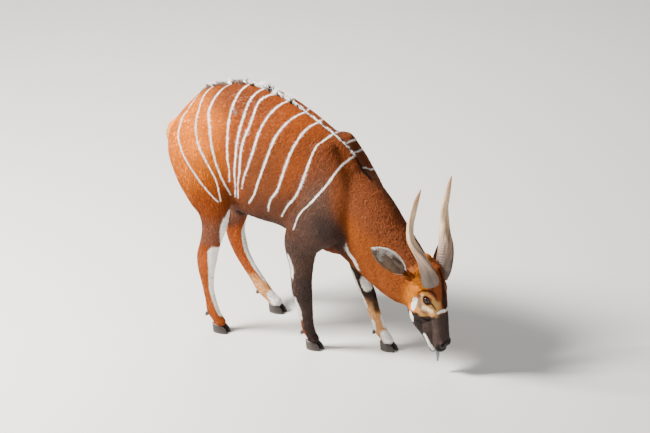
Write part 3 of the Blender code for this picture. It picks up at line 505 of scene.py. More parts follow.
def weightGroup(shape, name, weights, levels):  # a vertex group, its weights rounded to even levels
    group = shape.vertex_groups.new(name=name)
    level = np.round(weights * levels).astype(int)
    for k in range(levels + 1):
        group.add(np.nonzero(level == k)[0].tolist(), k / levels, "REPLACE")


def evenOut(shape, name, weights, levels, rounds):
    weightGroup(shape, name, weights, levels)
    evened = shape.modifiers.new(name, "SMOOTH")
    evened.factor = 0.5
    evened.iterations = rounds
    evened.vertex_group = name


def buildSkin():
    global skinTree  # the stripes are laid on the evened skin before it is thinned out
    whole = bmesh.new()
    for mesh in fleshMeshes():
        whole.from_mesh(mesh)
    skin = link(meshOf(whole, "skin"), "skin")
    remesh = skin.modifiers.new("skin", "REMESH")
    remesh.mode = "VOXEL"
    remesh.voxel_size = skinBuild["voxel"]
    settle(skin)
    places = placesOf(skin.data)
    head, leg = headShare(places), legShare(places)
    # the same evening out as the part's flesh had, whatever the voxel
    rounds = int(skinBuild["partRounds"] * (skinBuild["partVoxel"] / skinBuild["voxel"]) ** 2)
    evenOut(skin, "calm", (1 - leg) * (1 - head) + 0.13 * leg + 0.05 * head, 20, rounds)
    # the shoulder blades sink into the neck
    off = (np.abs(places) - np.array((0.33, 0.13, 0.93))) / np.array((0.15, 0.13, 0.20))
    blades = smooth(1.3 - np.linalg.norm(off, axis=1)) * (places[:, 0] > 0)
    evenOut(skin, "blades", blades, 10, 4 * rounds)
    settle(skin)
    places, normals = placesOf(skin.data), normalsOf(skin.data)
    head, leg = headShare(places), legShare(places)
    depth = skinBuild["coatDepthBody"] * (1 - head) * (1 - leg) + skinBuild["coatDepthLegs"] * leg
    depth += skinBuild["coatDepthHead"] * head
    movePlaces(skin.data, places - normals * depth[:, None])
    # the head and the stripes keep their full fineness
    skinTree = surfaceTree(skin.data)
    lines = treeOf(stripeStrokes())
    gap = np.array([lines.find(place)[2] for place in placesOf(skin.data).tolist()])
    fine = np.maximum(head * 0.97, smooth((0.0085 - gap) / 0.003) * 0.95)
    weightGroup(skin, "fewer", 1 - fine, 10)
    fewer = skin.modifiers.new("fewer", "DECIMATE")
    fewer.ratio = min(1.0, skinBuild["triangles"] / (2 * len(skin.data.polygons)))
    fewer.vertex_group = "fewer"
    fewer.use_collapse_triangulate = True
    settle(skin)
    skin.vertex_groups.clear()
    return skin


skin = buildSkin()
print("skin", len(skin.data.vertices), len(skin.data.polygons))
skinTree = surfaceTree(skin.data)

# creases of the skin: round the root of each ear and across the top of the neck, mirrored to both sides
wrinkles = {
    "ear": (
        ((0.035, 0.073, -0.136), (0.055, 0.096, -0.112), (0.086, 0.101, -0.123)),
        ((0.002, 0.068, -0.153), (0.027, 0.062, -0.125), (0.053, 0.083, -0.097), (0.091, 0.093, -0.100)),
        ((-0.006, 0.057, -0.142), (0.024, 0.050, -0.109), (0.056, 0.070, -0.082), (0.099, 0.078, -0.081)),
        ((0.123, 0.090, -0.147), (0.127, 0.082, -0.111), (0.118, 0.069, -0.078)),
        ((0.098, 0.090, -0.150), (0.106, 0.088, -0.128)),
    ),
    "neck": (
        ((0.514, 0.111, 0.745), (0.561, 0.076, 0.760), (0.590, 0.031, 0.766)),
        ((0.544, 0.103, 0.718), (0.589, 0.065, 0.736), (0.612, 0.020, 0.741)),
        ((0.556, 0.103, 0.699), (0.601, 0.065, 0.717), (0.627, 0.016, 0.722)),
        ((0.571, 0.101, 0.681), (0.614, 0.069, 0.695), (0.638, 0.024, 0.706)),
        ((0.649, 0.103, 0.509), (0.675, 0.100, 0.467), (0.701, 0.094, 0.433)),
    ),
    "depth": 0.0022, "width": 0.0045,
}
# grooves of the head, then of the body by place ahead and angle from the spine: line, depth and width
headGrooves = {
    "nostril": (((0.436, 0.031, -0.016), (0.447, 0.029, -0.010), (0.455, 0.022, -0.012)), 0.0085, 0.0042),
    "lips": (((0.362, 0.044, -0.104), (0.400, 0.040, -0.094), (0.440, 0.036, -0.081), (0.470, 0.022, -0.068),
              (0.482, 0.004, -0.066)), 0.0045, 0.0030),
    "cheekFold": (((0.300, 0.060, -0.105), (0.316, 0.050, -0.090), (0.308, 0.051, -0.060)), 0.0020, 0.0060),
}
bodyGrooves = {
    "stifle": (((-0.200, 118), (-0.215, 104), (-0.255, 92), (-0.310, 80)), 0.0085, 0.026),
    "elbow": (((0.140, 100), (0.160, 84), (0.190, 66)), 0.0040, 0.024),
}
hipRidge = (((-0.400, 28), (-0.430, 40), (-0.455, 55)), -0.006, 0.030)


def headSamples(line, side):
    return laid([(*headPoint(down, side * left, out), 0.0) for down, left, out in line], 0.002)


def bodySamples(line, side):
    return laid([(*bodyPlace(x, a, side), 0.0) for x, a in line], 0.006)


def wrinkleSamples(side):
    made = [headSamples(line, side) for line in wrinkles["ear"]]
    made += [laid([(x, side * y, z, 0.0) for x, y, z in line]) for line in wrinkles["neck"]]
    return np.concatenate(made)


def nearSamples(places, samples, reach):  # places near the samples, with the nearest one
    tree = treeOf(samples)
    low, high = samples[:, :3].min(axis=0) - reach, samples[:, :3].max(axis=0) + reach
    for i in np.nonzero(((places > low) & (places < high)).all(axis=1))[0]:
        _, k, gap = tree.find(places[i])
        yield i, k, gap


def pressIn(at, out, samples, depth, width):  # a groove, or a ridge where the depth is below 0
    reach = width * 2.6
    for i, _, gap in nearSamples(at, samples, reach):
        if gap < reach:
            at[i] -= out[i] * (depth * math.exp(-(gap / width) ** 2))


def sinkSocket(at, side):  # the skin goes in under the lids, clear of the globe
    turn, middle = np.array(eyeTurn(side)), np.array(eyeCentre(side))
    long, wide = eyeball["socket"]
    local = (at - middle) @ turn
    socket = np.sqrt((local[:, 1] / long) ** 2 + (local[:, 2] / wide) ** 2)
    globe = np.sqrt(np.maximum(eyeball["radius"] ** 2 - local[:, 1] ** 2 - local[:, 2] ** 2, 0))
    inside = (socket < 1.12) & (local[:, 0] > -0.012)
    sink = smooth((1.12 - socket) / 0.12)
    sunk = local[:, 0] * (1 - sink) + np.minimum(local[:, 0], globe - 0.005) * sink
    local[:, 0] = np.where(inside, sunk, local[:, 0])
    return np.where(inside[:, None], local @ turn.T + middle, at)


def sculptSkin():
    at, out = placesOf(skin.data), normalsOf(skin.data)
    for side in (-1, 1):
        at = sinkSocket(at, side)
        for line, depth, width in headGrooves.values():
            pressIn(at, out, headSamples(line, side), depth, width)
        for line, depth, width in bodyGrooves.values():
            pressIn(at, out, bodySamples(line, side), depth, width)
        pressIn(at, out, wrinkleSamples(side), wrinkles["depth"], wrinkles["width"])
        line, depth, width = hipRidge
        pressIn(at, out, bodySamples(line, side), depth, width)
    movePlaces(skin.data, at)


sculptSkin()
skinTree = surfaceTree(skin.data)


def headStrokes(lines, both=True):
    made = []
    for side in ((-1, 1) if both else (1,)):
        for line in lines:
            made.append(laid([(*headPoint(d, side * l, o), r) for d, l, o, r in line], 0.002))
    return np.concatenate(made)


def legStrokes(lines):
    return np.concatenate([laid([(*legPlace(name, z, a), r) for z, a, r in line]) for name, line in lines])


def bodyStrokes(lines):
    return np.concatenate([laid([(x, side * y, z, r) for x, y, z, r in line])
                           for side in (-1, 1) for line in lines])


def strokeShare(places, samples, soft, ragged):  # 1 inside the strokes, 0 outside
    share = np.zeros(len(places))
    for i, k, gap in nearSamples(places, samples, samples[:, 3].max() + soft):
        share[i] = (samples[k, 3] - gap + ragged[i]) / soft + 0.5
    return smooth(share)


def linear(hexa):  # one sRGB hex value to linear colour
    parts = [int(hexa[i:i + 2], 16) / 255 for i in (1, 3, 5)]
    return np.array([p / 12.92 if p <= 0.04045 else ((p + 0.055) / 1.055) ** 2.4 for p in parts])


coatTones = {
    "chestnut": "#843c0d", "haunch": "#dc7612", "buttock": "#e6a860", "flank": "#603216", "loin": "#522710",
    "lowFlank": "#4a2816", "belly": "#3c261c", "withers": "#623219", "shoulder": "#4f382d",
    "chest": "#2c2321", "foreleg": "#46322b", "neck": "#864314", "neckTop": "#6c3a22", "throat": "#834012",
    "cheek": "#e48820", "forehead": "#884526", "muzzle": "#433632", "jaw": "#2d2623", "white": "#f6f2ec",
    "cream": "#f8e2bc", "tan": "#c99a5c", "brow": "#4d2f20", "black": "#151010", "grey": "#6f6460",
    "fawn": "#e3a66c", "shin": "#9c4c1d", "gaskin": "#6c4433",
}
# soft fields of tone: place (mirrored to both sides), reach each way, tone, strength
toneFields = (
    # the haunch is brighter partly by its own tone and partly as a painted highlight on the top of the
    # hindquarters
    ((-0.48, 0.15, 1.00), (0.24, 0.20, 0.30), "haunch", 0.9),
    ((-0.25, 0.05, 1.22), (0.30, 0.22, 0.12), "loin", 0.5),
    ((0.06, 0.20, 0.88), (0.34, 0.22, 0.28), "flank", 0.85),
    # the lower flank is darker partly by its own tone and partly as painted shade towards the belly
    ((0.04, 0.20, 0.69), (0.36, 0.24, 0.15), "lowFlank", 0.85),
    ((0.28, 0.08, 1.02), (0.18, 0.20, 0.16), "withers", 0.8),
    # the buttock is paler partly by its own paler hair and partly as a painted highlight on the back of the
    # thigh
    ((-0.70, 0.08, 0.90), (0.09, 0.15, 0.24), "buttock", 0.85),
    # the belly is darker partly by its own tone and partly as painted shade under the trunk
    ((-0.02, 0.00, 0.58), (0.42, 0.30, 0.10), "belly", 0.95),
    ((0.16, 0.20, 0.94), (0.13, 0.24, 0.13), "chestnut", 0.6),
    # the shoulder, chest and upper foreleg are darker partly by their own tone and partly as painted shade
    # round the elbow and under the neck
    ((0.29, 0.18, 0.76), (0.17, 0.22, 0.26), "shoulder", 0.95),
    ((0.34, 0.16, 0.66), (0.13, 0.18, 0.17), "chest", 0.9),
    ((0.40, 0.04, 0.60), (0.13, 0.16, 0.12), "chest", 0.8),
    ((0.21, 0.18, 0.62), (0.10, 0.18, 0.13), "foreleg", 0.8),
)


def blend(tone, hexa, share):  # towards one colour, by a share for each place
    return tone + (linear(hexa) - tone) * np.asarray(share)[..., None]


def partTone(tone, share, target):
    return blend(tone, coatTones[target], share)


def coatColour(places, near):  # the coat's colour at any place on the skin
    mirrored = np.stack([places[:, 0], np.abs(places[:, 1]), places[:, 2]], axis=1)
    head = headShare(places)
    body = 1 - head
    broad = cloud(places, 0.09, 3)
    tone = np.tile(linear(coatTones["chestnut"]), (len(places), 1))
    for centre, reach, target, strength in toneFields:
        gap = np.linalg.norm((mirrored - np.array(centre)) / np.array(reach), axis=1)
        tone = partTone(tone, strength * smooth(1.25 - gap + 0.12 * broad) * body, target)
    tone = legTone(tone, places, near, broad)
    high = smooth((places[:, 2] - 0.62) / 0.25)
    neck = smooth((places[:, 0] - 0.425 + 0.05 * high + 0.01 * broad) / (0.03 + 0.10 * high) + 0.5) * body
    neck *= smooth((near["foreLeft"] - near["neck"]) / 0.4 + 0.6)
    tone = partTone(tone, neck, "neck")
    dorsal = (places - np.array((0.52, 0, 0.59))) @ np.array((0.68, 0, 0.73))
    tone = partTone(tone, neck * smooth((dorsal - 0.02 + 0.03 * broad) / 0.12) * 0.75, "neckTop")
    tone = partTone(tone, neck * smooth((-dorsal - 0.08 + 0.02 * broad) / 0.06) * 0.8, "throat")
    tone = headTone(tone, places, head)
    return tone * (1 + 0.07 * broad[:, None])


def marked(tone, places):  # the sharp marks over the soft tones
    ragged = cloud(places, 0.005, 5) * 0.0012 + cloud(places, 0.02, 6) * 0.0008
    for target, samples, soft, strength in coatStrokes:
        tone = partTone(tone, strength * strokeShare(places, samples, soft, ragged), target)
    return tone


def legTone(tone, places, near, broad):
    z = places[:, 2] + 0.02 * broad
    for name in ("foreRight", "foreLeft", "hindRight", "hindLeft"):
        mine = smooth((np.minimum(near["trunk"], near["neck"]) - near[name]) / 0.5 + 0.5)
        others = np.min([near[o] for o in legRows if o != name], axis=0)
        mine *= (near[name] < others) * smooth((0.80 - z) / 0.15)
        part = axes[name]
        i = np.abs(part["centre"][None, ::3, 2] - places[:, 2:3]).argmin(axis=1) * 3
        forward = (places[:, 0] - part["centre"][i, 0]) / part["deep"][i]
        outward = (places[:, 1] - part["centre"][i, 1]) / part["wide"][i] * (1 if "Left" in name else -1)
        if "fore" in name:
            tone = partTone(tone, mine * smooth((0.66 - z) / 0.1), "foreleg")
            tone = partTone(tone, mine * smooth((0.45 - z) / 0.1) * smooth(forward + 0.7) * 0.75, "chest")
            behind = smooth(-forward * 1.5 - 0.2)
            tone = partTone(tone, mine * smooth((0.28 - z) / 0.08) * behind * 0.8, "shin")
        else:
            tone = partTone(tone, mine * smooth((0.72 - z) / 0.1) * smooth(-outward + 0.2) * 0.7, "foreleg")
            tone = partTone(tone, mine * smooth((0.46 - z) / 0.06), "shin")
            tone = partTone(tone, mine * smooth((0.66 - z) / 0.1) * smooth((z - 0.44) / 0.05) * 0.8, "gaskin")
        if "Left" in name:
            top = 0.25 if "fore" in name else 0.20
            tone = partTone(tone, mine * smooth((top - z) / 0.06) * 0.85, "fawn")
    return tone


def headTone(tone, places, head):
    down, left, out = headPlaces(places).T
    left = np.abs(left)
    rough = cloud(places, 0.02, 8)
    tone = partTone(tone, head * 0.9, "cheek")
    tone = partTone(tone, head * smooth((out + 0.055 + 0.3 * (0.075 - left)) / 0.03) * 0.95, "forehead")
    tone = partTone(tone, head * smooth((0.10 - down) / 0.05) * 0.6, "neck")
    tone = partTone(tone, head * smooth((down - 0.205) / 0.02) * smooth((0.095 - np.abs(out + 0.045)) / 0.03)
                    * smooth((left - 0.02) / 0.02) * 0.85, "tan")
    edge = 0.289 + 0.05 * smooth((-out - 0.10) / 0.08) * smooth((0.05 - left) / 0.03) + 0.003 * rough
    tone = partTone(tone, head * smooth((down - edge) / 0.012), "muzzle")
    tone = partTone(tone, head * smooth((down - 0.272) / 0.01) * smooth((-out - 0.105) / 0.02), "jaw")
    tone = partTone(tone, head * smooth((down - 0.276) / 0.01) * smooth((out + 0.03) / 0.02), "muzzle")
    return tone


coatStrokes = []


def lay(tone, strength, samples, soft):  # the next mark, over those laid before it
    coatStrokes.append((tone, samples, soft, strength))


def rimRing(long, wide, radius):  # a ring of one tone round each eye
    rows = []
    for side in (-1, 1):
        turn, middle = eyeTurn(side), eyeCentre(side)
        for k in range(30):
            a = 2 * math.pi * k / 30
            spot = middle + turn @ Vector((0.010, long * math.cos(a), wide * math.sin(a)))
            rows.append((*onSkin(spot), radius))
    return np.array(rows)


def spineStrokes(line):
    return laid([(*bodyPlace(x, 0, 1), r) for x, r in line])


def layPale():
    lay("tan", 0.9, rimRing(0.0330, 0.0290, 0.0060), 0.006)
    lay("tan", 0.9, headStrokes((
        ((0.205, 0.068, -0.095, 0.0055), (0.178, 0.072, -0.082, 0.0055), (0.166, 0.072, -0.058, 0.0055),
         (0.178, 0.066, -0.034, 0.0055), (0.205, 0.058, -0.020, 0.0055), (0.240, 0.050, -0.013, 0.0055)),
    )), 0.005)
    lay("cream", 0.95, headStrokes((
        ((0.246, 0.066, -0.084, 0.010), (0.256, 0.062, -0.066, 0.014), (0.262, 0.054, -0.048, 0.011)),
    )), 0.012)


def layDark():
    lay("black", 0.88, rimRing(0.0240, 0.0200, 0.0055), 0.006)
    lay("black", 0.88, headStrokes((
        ((0.166, 0.070, -0.098, 0.004), (0.152, 0.070, -0.070, 0.006), (0.156, 0.062, -0.036, 0.006),
         (0.185, 0.050, -0.012, 0.004)),
        ((0.222, 0.062, -0.036, 0.0045), (0.236, 0.056, -0.030, 0.0045), (0.255, 0.052, -0.022, 0.003)),
        ((0.300, 0.060, -0.105, 0.003), (0.316, 0.050, -0.090, 0.005), (0.308, 0.051, -0.060, 0.004),
         (0.288, 0.050, -0.030, 0.003)),
    )), 0.006)
    lay("black", 0.88, headStrokes((
        ((0.060, 0.0, -0.020, 0.007), (0.100, 0.0, -0.003, 0.010), (0.170, 0.0, 0.002, 0.015),
         (0.235, 0.0, 0.004, 0.022), (0.252, 0.0, 0.004, 0.020)),
    ), False), 0.012)
    lay("black", 0.88, legStrokes((
        ("foreLeft", ((0.275, 30, 0.010), (0.255, 20, 0.014), (0.235, 10, 0.012))),
        ("foreLeft", ((0.215, -20, 0.016), (0.195, -25, 0.018))),
        ("hindLeft", ((0.66, -60, 0.06), (0.58, -70, 0.05), (0.52, -60, 0.035))),
    )), 0.02)
    lay("grey", 0.7, headStrokes((
        ((0.184, 0.072, -0.098, 0.011), (0.212, 0.070, -0.104, 0.012), (0.240, 0.068, -0.102, 0.011)),
        ((0.262, 0.062, -0.100, 0.006), (0.276, 0.058, -0.086, 0.007)),
    )), 0.010)
    lay("grey", 0.7, laid(((-0.244, -0.130, 1.176, 0.010), (-0.230, -0.139, 1.160, 0.009))), 0.006)


def layCrest():  # a white line edged with black, then the dark nape and painted shade along the creases
    line = spineStrokes(((-0.20, 0.009), (-0.10, 0.008), (0.05, 0.006), (0.20, 0.005), (0.365, 0.004)))
    lay("black", 0.75, line + np.array((0, 0, 0, 0.004)), 0.006)
    lay("white", 0.85, line, 0.004)
    lay("black", 0.8, spineStrokes(((0.36, 0.006), (0.42, 0.008), (0.48, 0.005))), 0.010)
    creases = np.concatenate([wrinkleSamples(side) for side in (-1, 1)])
    # painted shade: the creases are darkened in a brown tone along the grooves pressed into the skin
    lay("brow", 0.6, creases + (0, 0, 0, 0.0015), 0.006)


def layWhite():
    lay("white", 1.0, stripeStrokes(), 0.0025)
    lay("white", 1.0, headStrokes((
        ((0.205, 0.074, -0.124, 0.013), (0.232, 0.072, -0.137, 0.0145), (0.256, 0.068, -0.150, 0.012)),
        ((0.288, 0.050, -0.178, 0.013), (0.312, 0.048, -0.183, 0.015), (0.330, 0.044, -0.184, 0.011)),
        ((0.274, 0.044, -0.018, 0.0045), (0.267, 0.028, -0.004, 0.0070), (0.270, 0.008, 0.004, 0.0070)),
        ((0.395, 0.036, -0.116, 0.0060), (0.435, 0.034, -0.098, 0.0085), (0.474, 0.018, -0.082, 0.0080)),
        ((0.462, 0.024, -0.060, 0.0035), (0.470, 0.012, -0.056, 0.0035)),
    )), 0.003)
    lay("white", 1.0, legStrokes((
        ("hindRight", ((0.418, 8, 0.046), (0.37, 2, 0.040), (0.33, -4, 0.034), (0.27, -8, 0.026),
                       (0.20, -12, 0.023), (0.10, -14, 0.019))),
        ("hindRight", ((0.645, -8, 0.016), (0.60, -6, 0.034), (0.565, -6, 0.036), (0.52, -10, 0.027),
                       (0.485, -14, 0.014))),
        ("hindLeft", ((0.44, 14, 0.008), (0.40, 15, 0.022), (0.33, 14, 0.026), (0.27, 12, 0.022),
                      (0.21, 10, 0.018), (0.161, 12, 0.014), (0.14, 15, 0.009))),
        ("hindLeft", ((0.085, -20, 0.026), (0.05, -20, 0.040))),
        ("hindLeft", ((0.085, 60, 0.026), (0.05, 60, 0.040))),
        ("foreRight", ((0.500, 128, 0.008), (0.44, 124, 0.014), (0.385, 126, 0.009))),
        ("foreRight", ((0.465, -34, 0.014), (0.425, -36, 0.011))),
        ("foreRight", ((0.265, 124, 0.008), (0.21, 122, 0.014), (0.160, 122, 0.009))),
        ("foreLeft", ((0.36, -122, 0.006), (0.28, -124, 0.009), (0.20, -124, 0.008))),
        ("foreLeft", ((0.325, -35, 0.026), (0.305, -40, 0.028))),
        ("foreLeft", ((0.12, -140, 0.020), (0.095, -150, 0.022))),
        ("foreLeft", ((0.155, 20, 0.014), (0.115, 10, 0.016))),
        ("foreLeft", ((0.075, -20, 0.034), (0.05, -20, 0.040))),
        ("foreLeft", ((0.075, 80, 0.034), (0.05, 80, 0.040))),
    )), 0.004)
    lay("white", 1.0, bodyStrokes((
        ((0.415, 0.133, 0.620, 0.004), (0.418, 0.116, 0.567, 0.010), (0.442, 0.106, 0.535, 0.013),
         (0.456, 0.080, 0.482, 0.009)),
    )), 0.005)


layPale()
layDark()
layCrest()
layWhite()
print("marks", sum(len(samples) for _, samples, _, _ in coatStrokes))


def surveySkin():  # what every vertex needs to know of its place on the body
    places, normals = placesOf(skin.data), normalsOf(skin.data)
    near, share, angle = {}, {}, {}
    for name in partNames:
        near[name], share[name], angle[name] = onPart(places, name)
    head = headShare(places)
    near["head"] = np.where(head > 0.5, 0.0, near["head"] + 2)
    part = np.argmin([near[n] for n in partNames], axis=0)
    flow = np.zeros_like(places)
    lowest = np.min([near[n] for n in partNames[:2] + partNames[3:]], axis=0)
    for name in partNames:
        if name == "head":
            continue
        weight = np.exp(-6 * (near[name] - lowest)) * (1 - head)
        if name in legRows:
            step = np.clip((share[name] * (axisSteps - 1)).astype(int), 0, axisSteps - 1)
            way = unit(axes[name]["along"][step])
        elif name == "neck":
            way = np.tile(np.array(coatFlow["neck"]), (len(places), 1))
        else:
            drop = smooth((-0.45 - places[:, 0]) / 0.2)[:, None]
            way = np.array(coatFlow["trunk"]) * (1 - drop) + np.array(coatFlow["rump"]) * drop
        flow += weight[:, None] * way
    cheek = smooth(np.abs(places[:, 1]) / 0.05)[:, None]
    way = np.array(-faceDown) - np.array(faceOut) * 0.55 * cheek + np.array((0, 1, 0)) * (places[:, 1:2] * 4)
    flow = flow + head[:, None] * way * 3  # up the face and back over the cheeks
    flow -= (flow * normals).sum(axis=1, keepdims=True) * normals
    return places, normals, near, share, angle, part, unit(flow)


places, normals, near, share, angle, part, flow = surveySkin()
print("survey done")

# where each part's chart lies in the unwrap
chartRects = (
    (0.01, 0.02, 0.79, 0.51), (0.01, 0.56, 0.38, 0.86), (0.41, 0.55, 0.80, 0.98), (0.84, 0.02, 0.98, 0.23),
    (0.84, 0.27, 0.98, 0.48), (0.84, 0.52, 0.98, 0.73), (0.84, 0.77, 0.98, 0.97),
)


def unwrapSkin():
    mesh = skin.data
    mesh.calc_loop_triangles()
    corners = np.empty(len(mesh.polygons) * 3, int)
    mesh.polygons.foreach_get("vertices", corners)
    corners = corners.reshape(-1, 3)
    votes = part[corners]
    chosen = np.where(votes[:, 1] == votes[:, 2], votes[:, 1], votes[:, 0])
    around = np.stack([angle[n] for n in partNames])
    along = np.stack([share[n] for n in partNames])
    uv = np.empty((len(corners), 3, 2))
    first = around[chosen, corners[:, 0]]
    for k in range(3):
        a = around[chosen, corners[:, k]]
        turned = first + (a - first + math.pi) % (2 * math.pi) - math.pi
        uv[:, k, 0] = turned / (2 * math.pi) + 0.5
        uv[:, k, 1] = np.clip(along[chosen, corners[:, k]], -0.1, 1.1)
    uv[:, :, 1] = (uv[:, :, 1] + 0.1) / 1.2
    rects = np.array(chartRects)[chosen]
    uv[:, :, 0] = rects[:, None, 0] + uv[:, :, 0] * (rects[:, 2] - rects[:, 0])[:, None]
    uv[:, :, 1] = rects[:, None, 1] + uv[:, :, 1] * (rects[:, 3] - rects[:, 1])[:, None]
    layer = mesh.uv_layers.new(name="OFBake")
    layer.data.foreach_set("uv", uv.reshape(-1))
    return corners, uv


corners, cornerUv = unwrapSkin()


def paint(mesh, colours, name="coat"):  # linear colour kept at every vertex
    layer = mesh.color_attributes.new(name, "FLOAT_COLOR", "POINT")
    whole = np.concatenate([colours, np.ones((len(colours), 1))], axis=1)
    layer.data.foreach_set("color", whole.reshape(-1))


def note(mesh, values, name):
    layer = mesh.attributes.new(name, "FLOAT", "POINT")
    layer.data.foreach_set("value", np.asarray(values, float))


headCo = headPlaces(places)
noseGap = np.linalg.norm((headCo - np.array((0.464, 0.0, -0.022))) / np.array((0.048, 0.048, 0.052)), axis=1)
skinBare = smooth((1.10 - noseGap) / 0.14) * headShare(places)  # the wet nose pad
note(skin.data, skinBare, "bare")
paint(skin.data, partTone(marked(coatColour(places, near), places), skinBare * 0.96, "black"))
# the lie of the coat in metres, across and along, for the hair grain
halfway = axisSteps // 2
girth = np.stack([axes[n]["wide"][halfway] + axes[n]["deep"][halfway] for n in partNames])[part] / 2
roundIt = np.stack([angle[n] for n in partNames])[part, np.arange(len(part))]
alongIt = np.stack([share[n] * axes[n]["length"] for n in partNames])[part, np.arange(len(part))]
lie = skin.data.attributes.new("lie", "FLOAT_VECTOR", "POINT")
lie.data.foreach_set("vector", np.stack([roundIt * girth, alongIt, part * 3.0], axis=1).reshape(-1))
print("coat painted")


def addNode(tree, kind, values=None, links=None, **settings):
    made = tree.nodes.new(kind)
    for key, value in settings.items():
        setattr(made, key, value)
    for key, value in (values or {}).items():
        made.inputs[key].default_value = value
    for key, source in (links or {}).items():
        tree.links.new(source, made.inputs[key])
    return made


def newMaterial(name, **surface):
    made = bpy.data.materials.new(name)
    made.use_nodes = True
    shader = made.node_tree.nodes["Principled BSDF"]
    for key, value in surface.items():
        shader.inputs[key].default_value = value
    return made, made.node_tree, shader


def rgba(hexa):
    return (*linear(hexa), 1)


# Short body hair: dull keratin with a little sheen where the sun rakes it. The hair itself is 0.05 mm across;
# the grain is drawn at 3 mm by 24 mm, the finest that shows at this distance.
def shortHair(name, grain):
    made, tree, shader = newMaterial(name, **{"Roughness": 0.56, "IOR": 1.55, "Specular IOR Level": 0.07,
                                              "Sheen Weight": 0.01, "Sheen Roughness": 0.4})
    tone = addNode(tree, "ShaderNodeAttribute", attribute_name="coat")
    where = addNode(tree, "ShaderNodeTexCoord")
    speck = addNode(tree, "ShaderNodeTexNoise", {"Scale": 210.0, "Detail": 2.0},
                    {"Vector": where.outputs["Object"]})
    patch = addNode(tree, "ShaderNodeTexNoise", {"Scale": 28.0, "Detail": 3.0},
                    {"Vector": where.outputs["Object"]})
    light = addNode(tree, "ShaderNodeMapRange",
                    {"From Min": 0.3, "From Max": 0.7, "To Min": 0.82, "To Max": 1.16},
                    {"Value": speck.outputs["Fac"]})
    wide = addNode(tree, "ShaderNodeMapRange",
                   {"From Min": 0.3, "From Max": 0.7, "To Min": 0.90, "To Max": 1.08},
                   {"Value": patch.outputs["Fac"]})
    both = addNode(tree, "ShaderNodeMath", links={0: light.outputs[0], 1: wide.outputs[0]},
                   operation="MULTIPLY")
    shade = addNode(tree, "ShaderNodeVectorMath", links={0: tone.outputs["Color"], 3: both.outputs[0]},
                    operation="SCALE")
    tree.links.new(shade.outputs[0], shader.inputs["Base Color"])
    if grain:
        bare = addNode(tree, "ShaderNodeAttribute", attribute_name="bare")
        wet = addNode(tree, "ShaderNodeMapRange", {"To Min": 0.56, "To Max": 0.30},
                      {"Value": bare.outputs["Fac"]})
        tree.links.new(wet.outputs[0], shader.inputs["Roughness"])
        lay = addNode(tree, "ShaderNodeAttribute", attribute_name="lie")
        drawn = addNode(tree, "ShaderNodeVectorMath", {1: (330.0, 42.0, 1.0)}, {0: lay.outputs["Vector"]},
                        operation="MULTIPLY")
        hairs = addNode(tree, "ShaderNodeTexNoise", {"Scale": 1.0, "Detail": 3.0, "Distortion": 0.4},
                        {"Vector": drawn.outputs[0]})
        bump = addNode(tree, "ShaderNodeBump", {"Strength": 0.32, "Distance": 0.0015},
                       {"Height": hairs.outputs["Fac"]})
        tree.links.new(bump.outputs[0], shader.inputs["Normal"])
    return made


coatMaterial = shortHair("shortBodyHair", True)
tuftMaterial = shortHair("shortHairTufts", False)
skin.data.materials.clear()
skin.data.materials.append(coatMaterial)


def shadeSmooth(mesh):
    mesh.polygons.foreach_set("use_smooth", np.ones(len(mesh.polygons), bool))
    mesh.update()


def stand(piece):  # from the stance frame to the part's own, with no hair tip outside the solids' box
    low, high = np.array(cadBox)
    movePlaces(piece.data, np.clip(placesOf(piece.data) - np.array(standsAt), low, high))


shadeSmooth(skin.data)
pieces = [skin]


def addPiece(mesh, name, finish, slotName, *nodes):
    made = link(mesh, name)
    mesh.materials.clear()
    mesh.materials.append(finish)
    if nodes:
        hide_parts(*nodes)
    pieces.append(made)


def rootsOn(chance, count):  # random roots on the skin, by area and by each vertex's chance
    at = places[corners]
    area = np.linalg.norm(np.cross(at[:, 1] - at[:, 0], at[:, 2] - at[:, 0]), axis=1)
    weight = area * chance[corners].mean(axis=1)
    chosen = rng.choice(len(corners), count, p=weight / weight.sum())
    a, b = rng.random(count), rng.random(count)
    over = a + b > 1
    a[over], b[over] = 1 - a[over], 1 - b[over]
    part3 = np.stack([1 - a - b, a, b], axis=1)

    def mixed(values):
        picked = values[corners[chosen]]
        return np.einsum("nk,nk...->n...", part3, picked)

    root = {"place": mixed(places), "normal": unit(mixed(normals)), "flow": unit(mixed(flow))}
    root["uv"] = np.einsum("nk,nkj->nj", part3, cornerUv[chosen])
    root["colour"] = coatColour(root["place"], {name: mixed(near[name]) for name in partNames})
    return root


def onSkinMany(spots):
    found = [skinTree.find_nearest(spot)[:2] for spot in spots.tolist()]
    return np.array([f[0] for f in found]), np.array([f[1] for f in found])


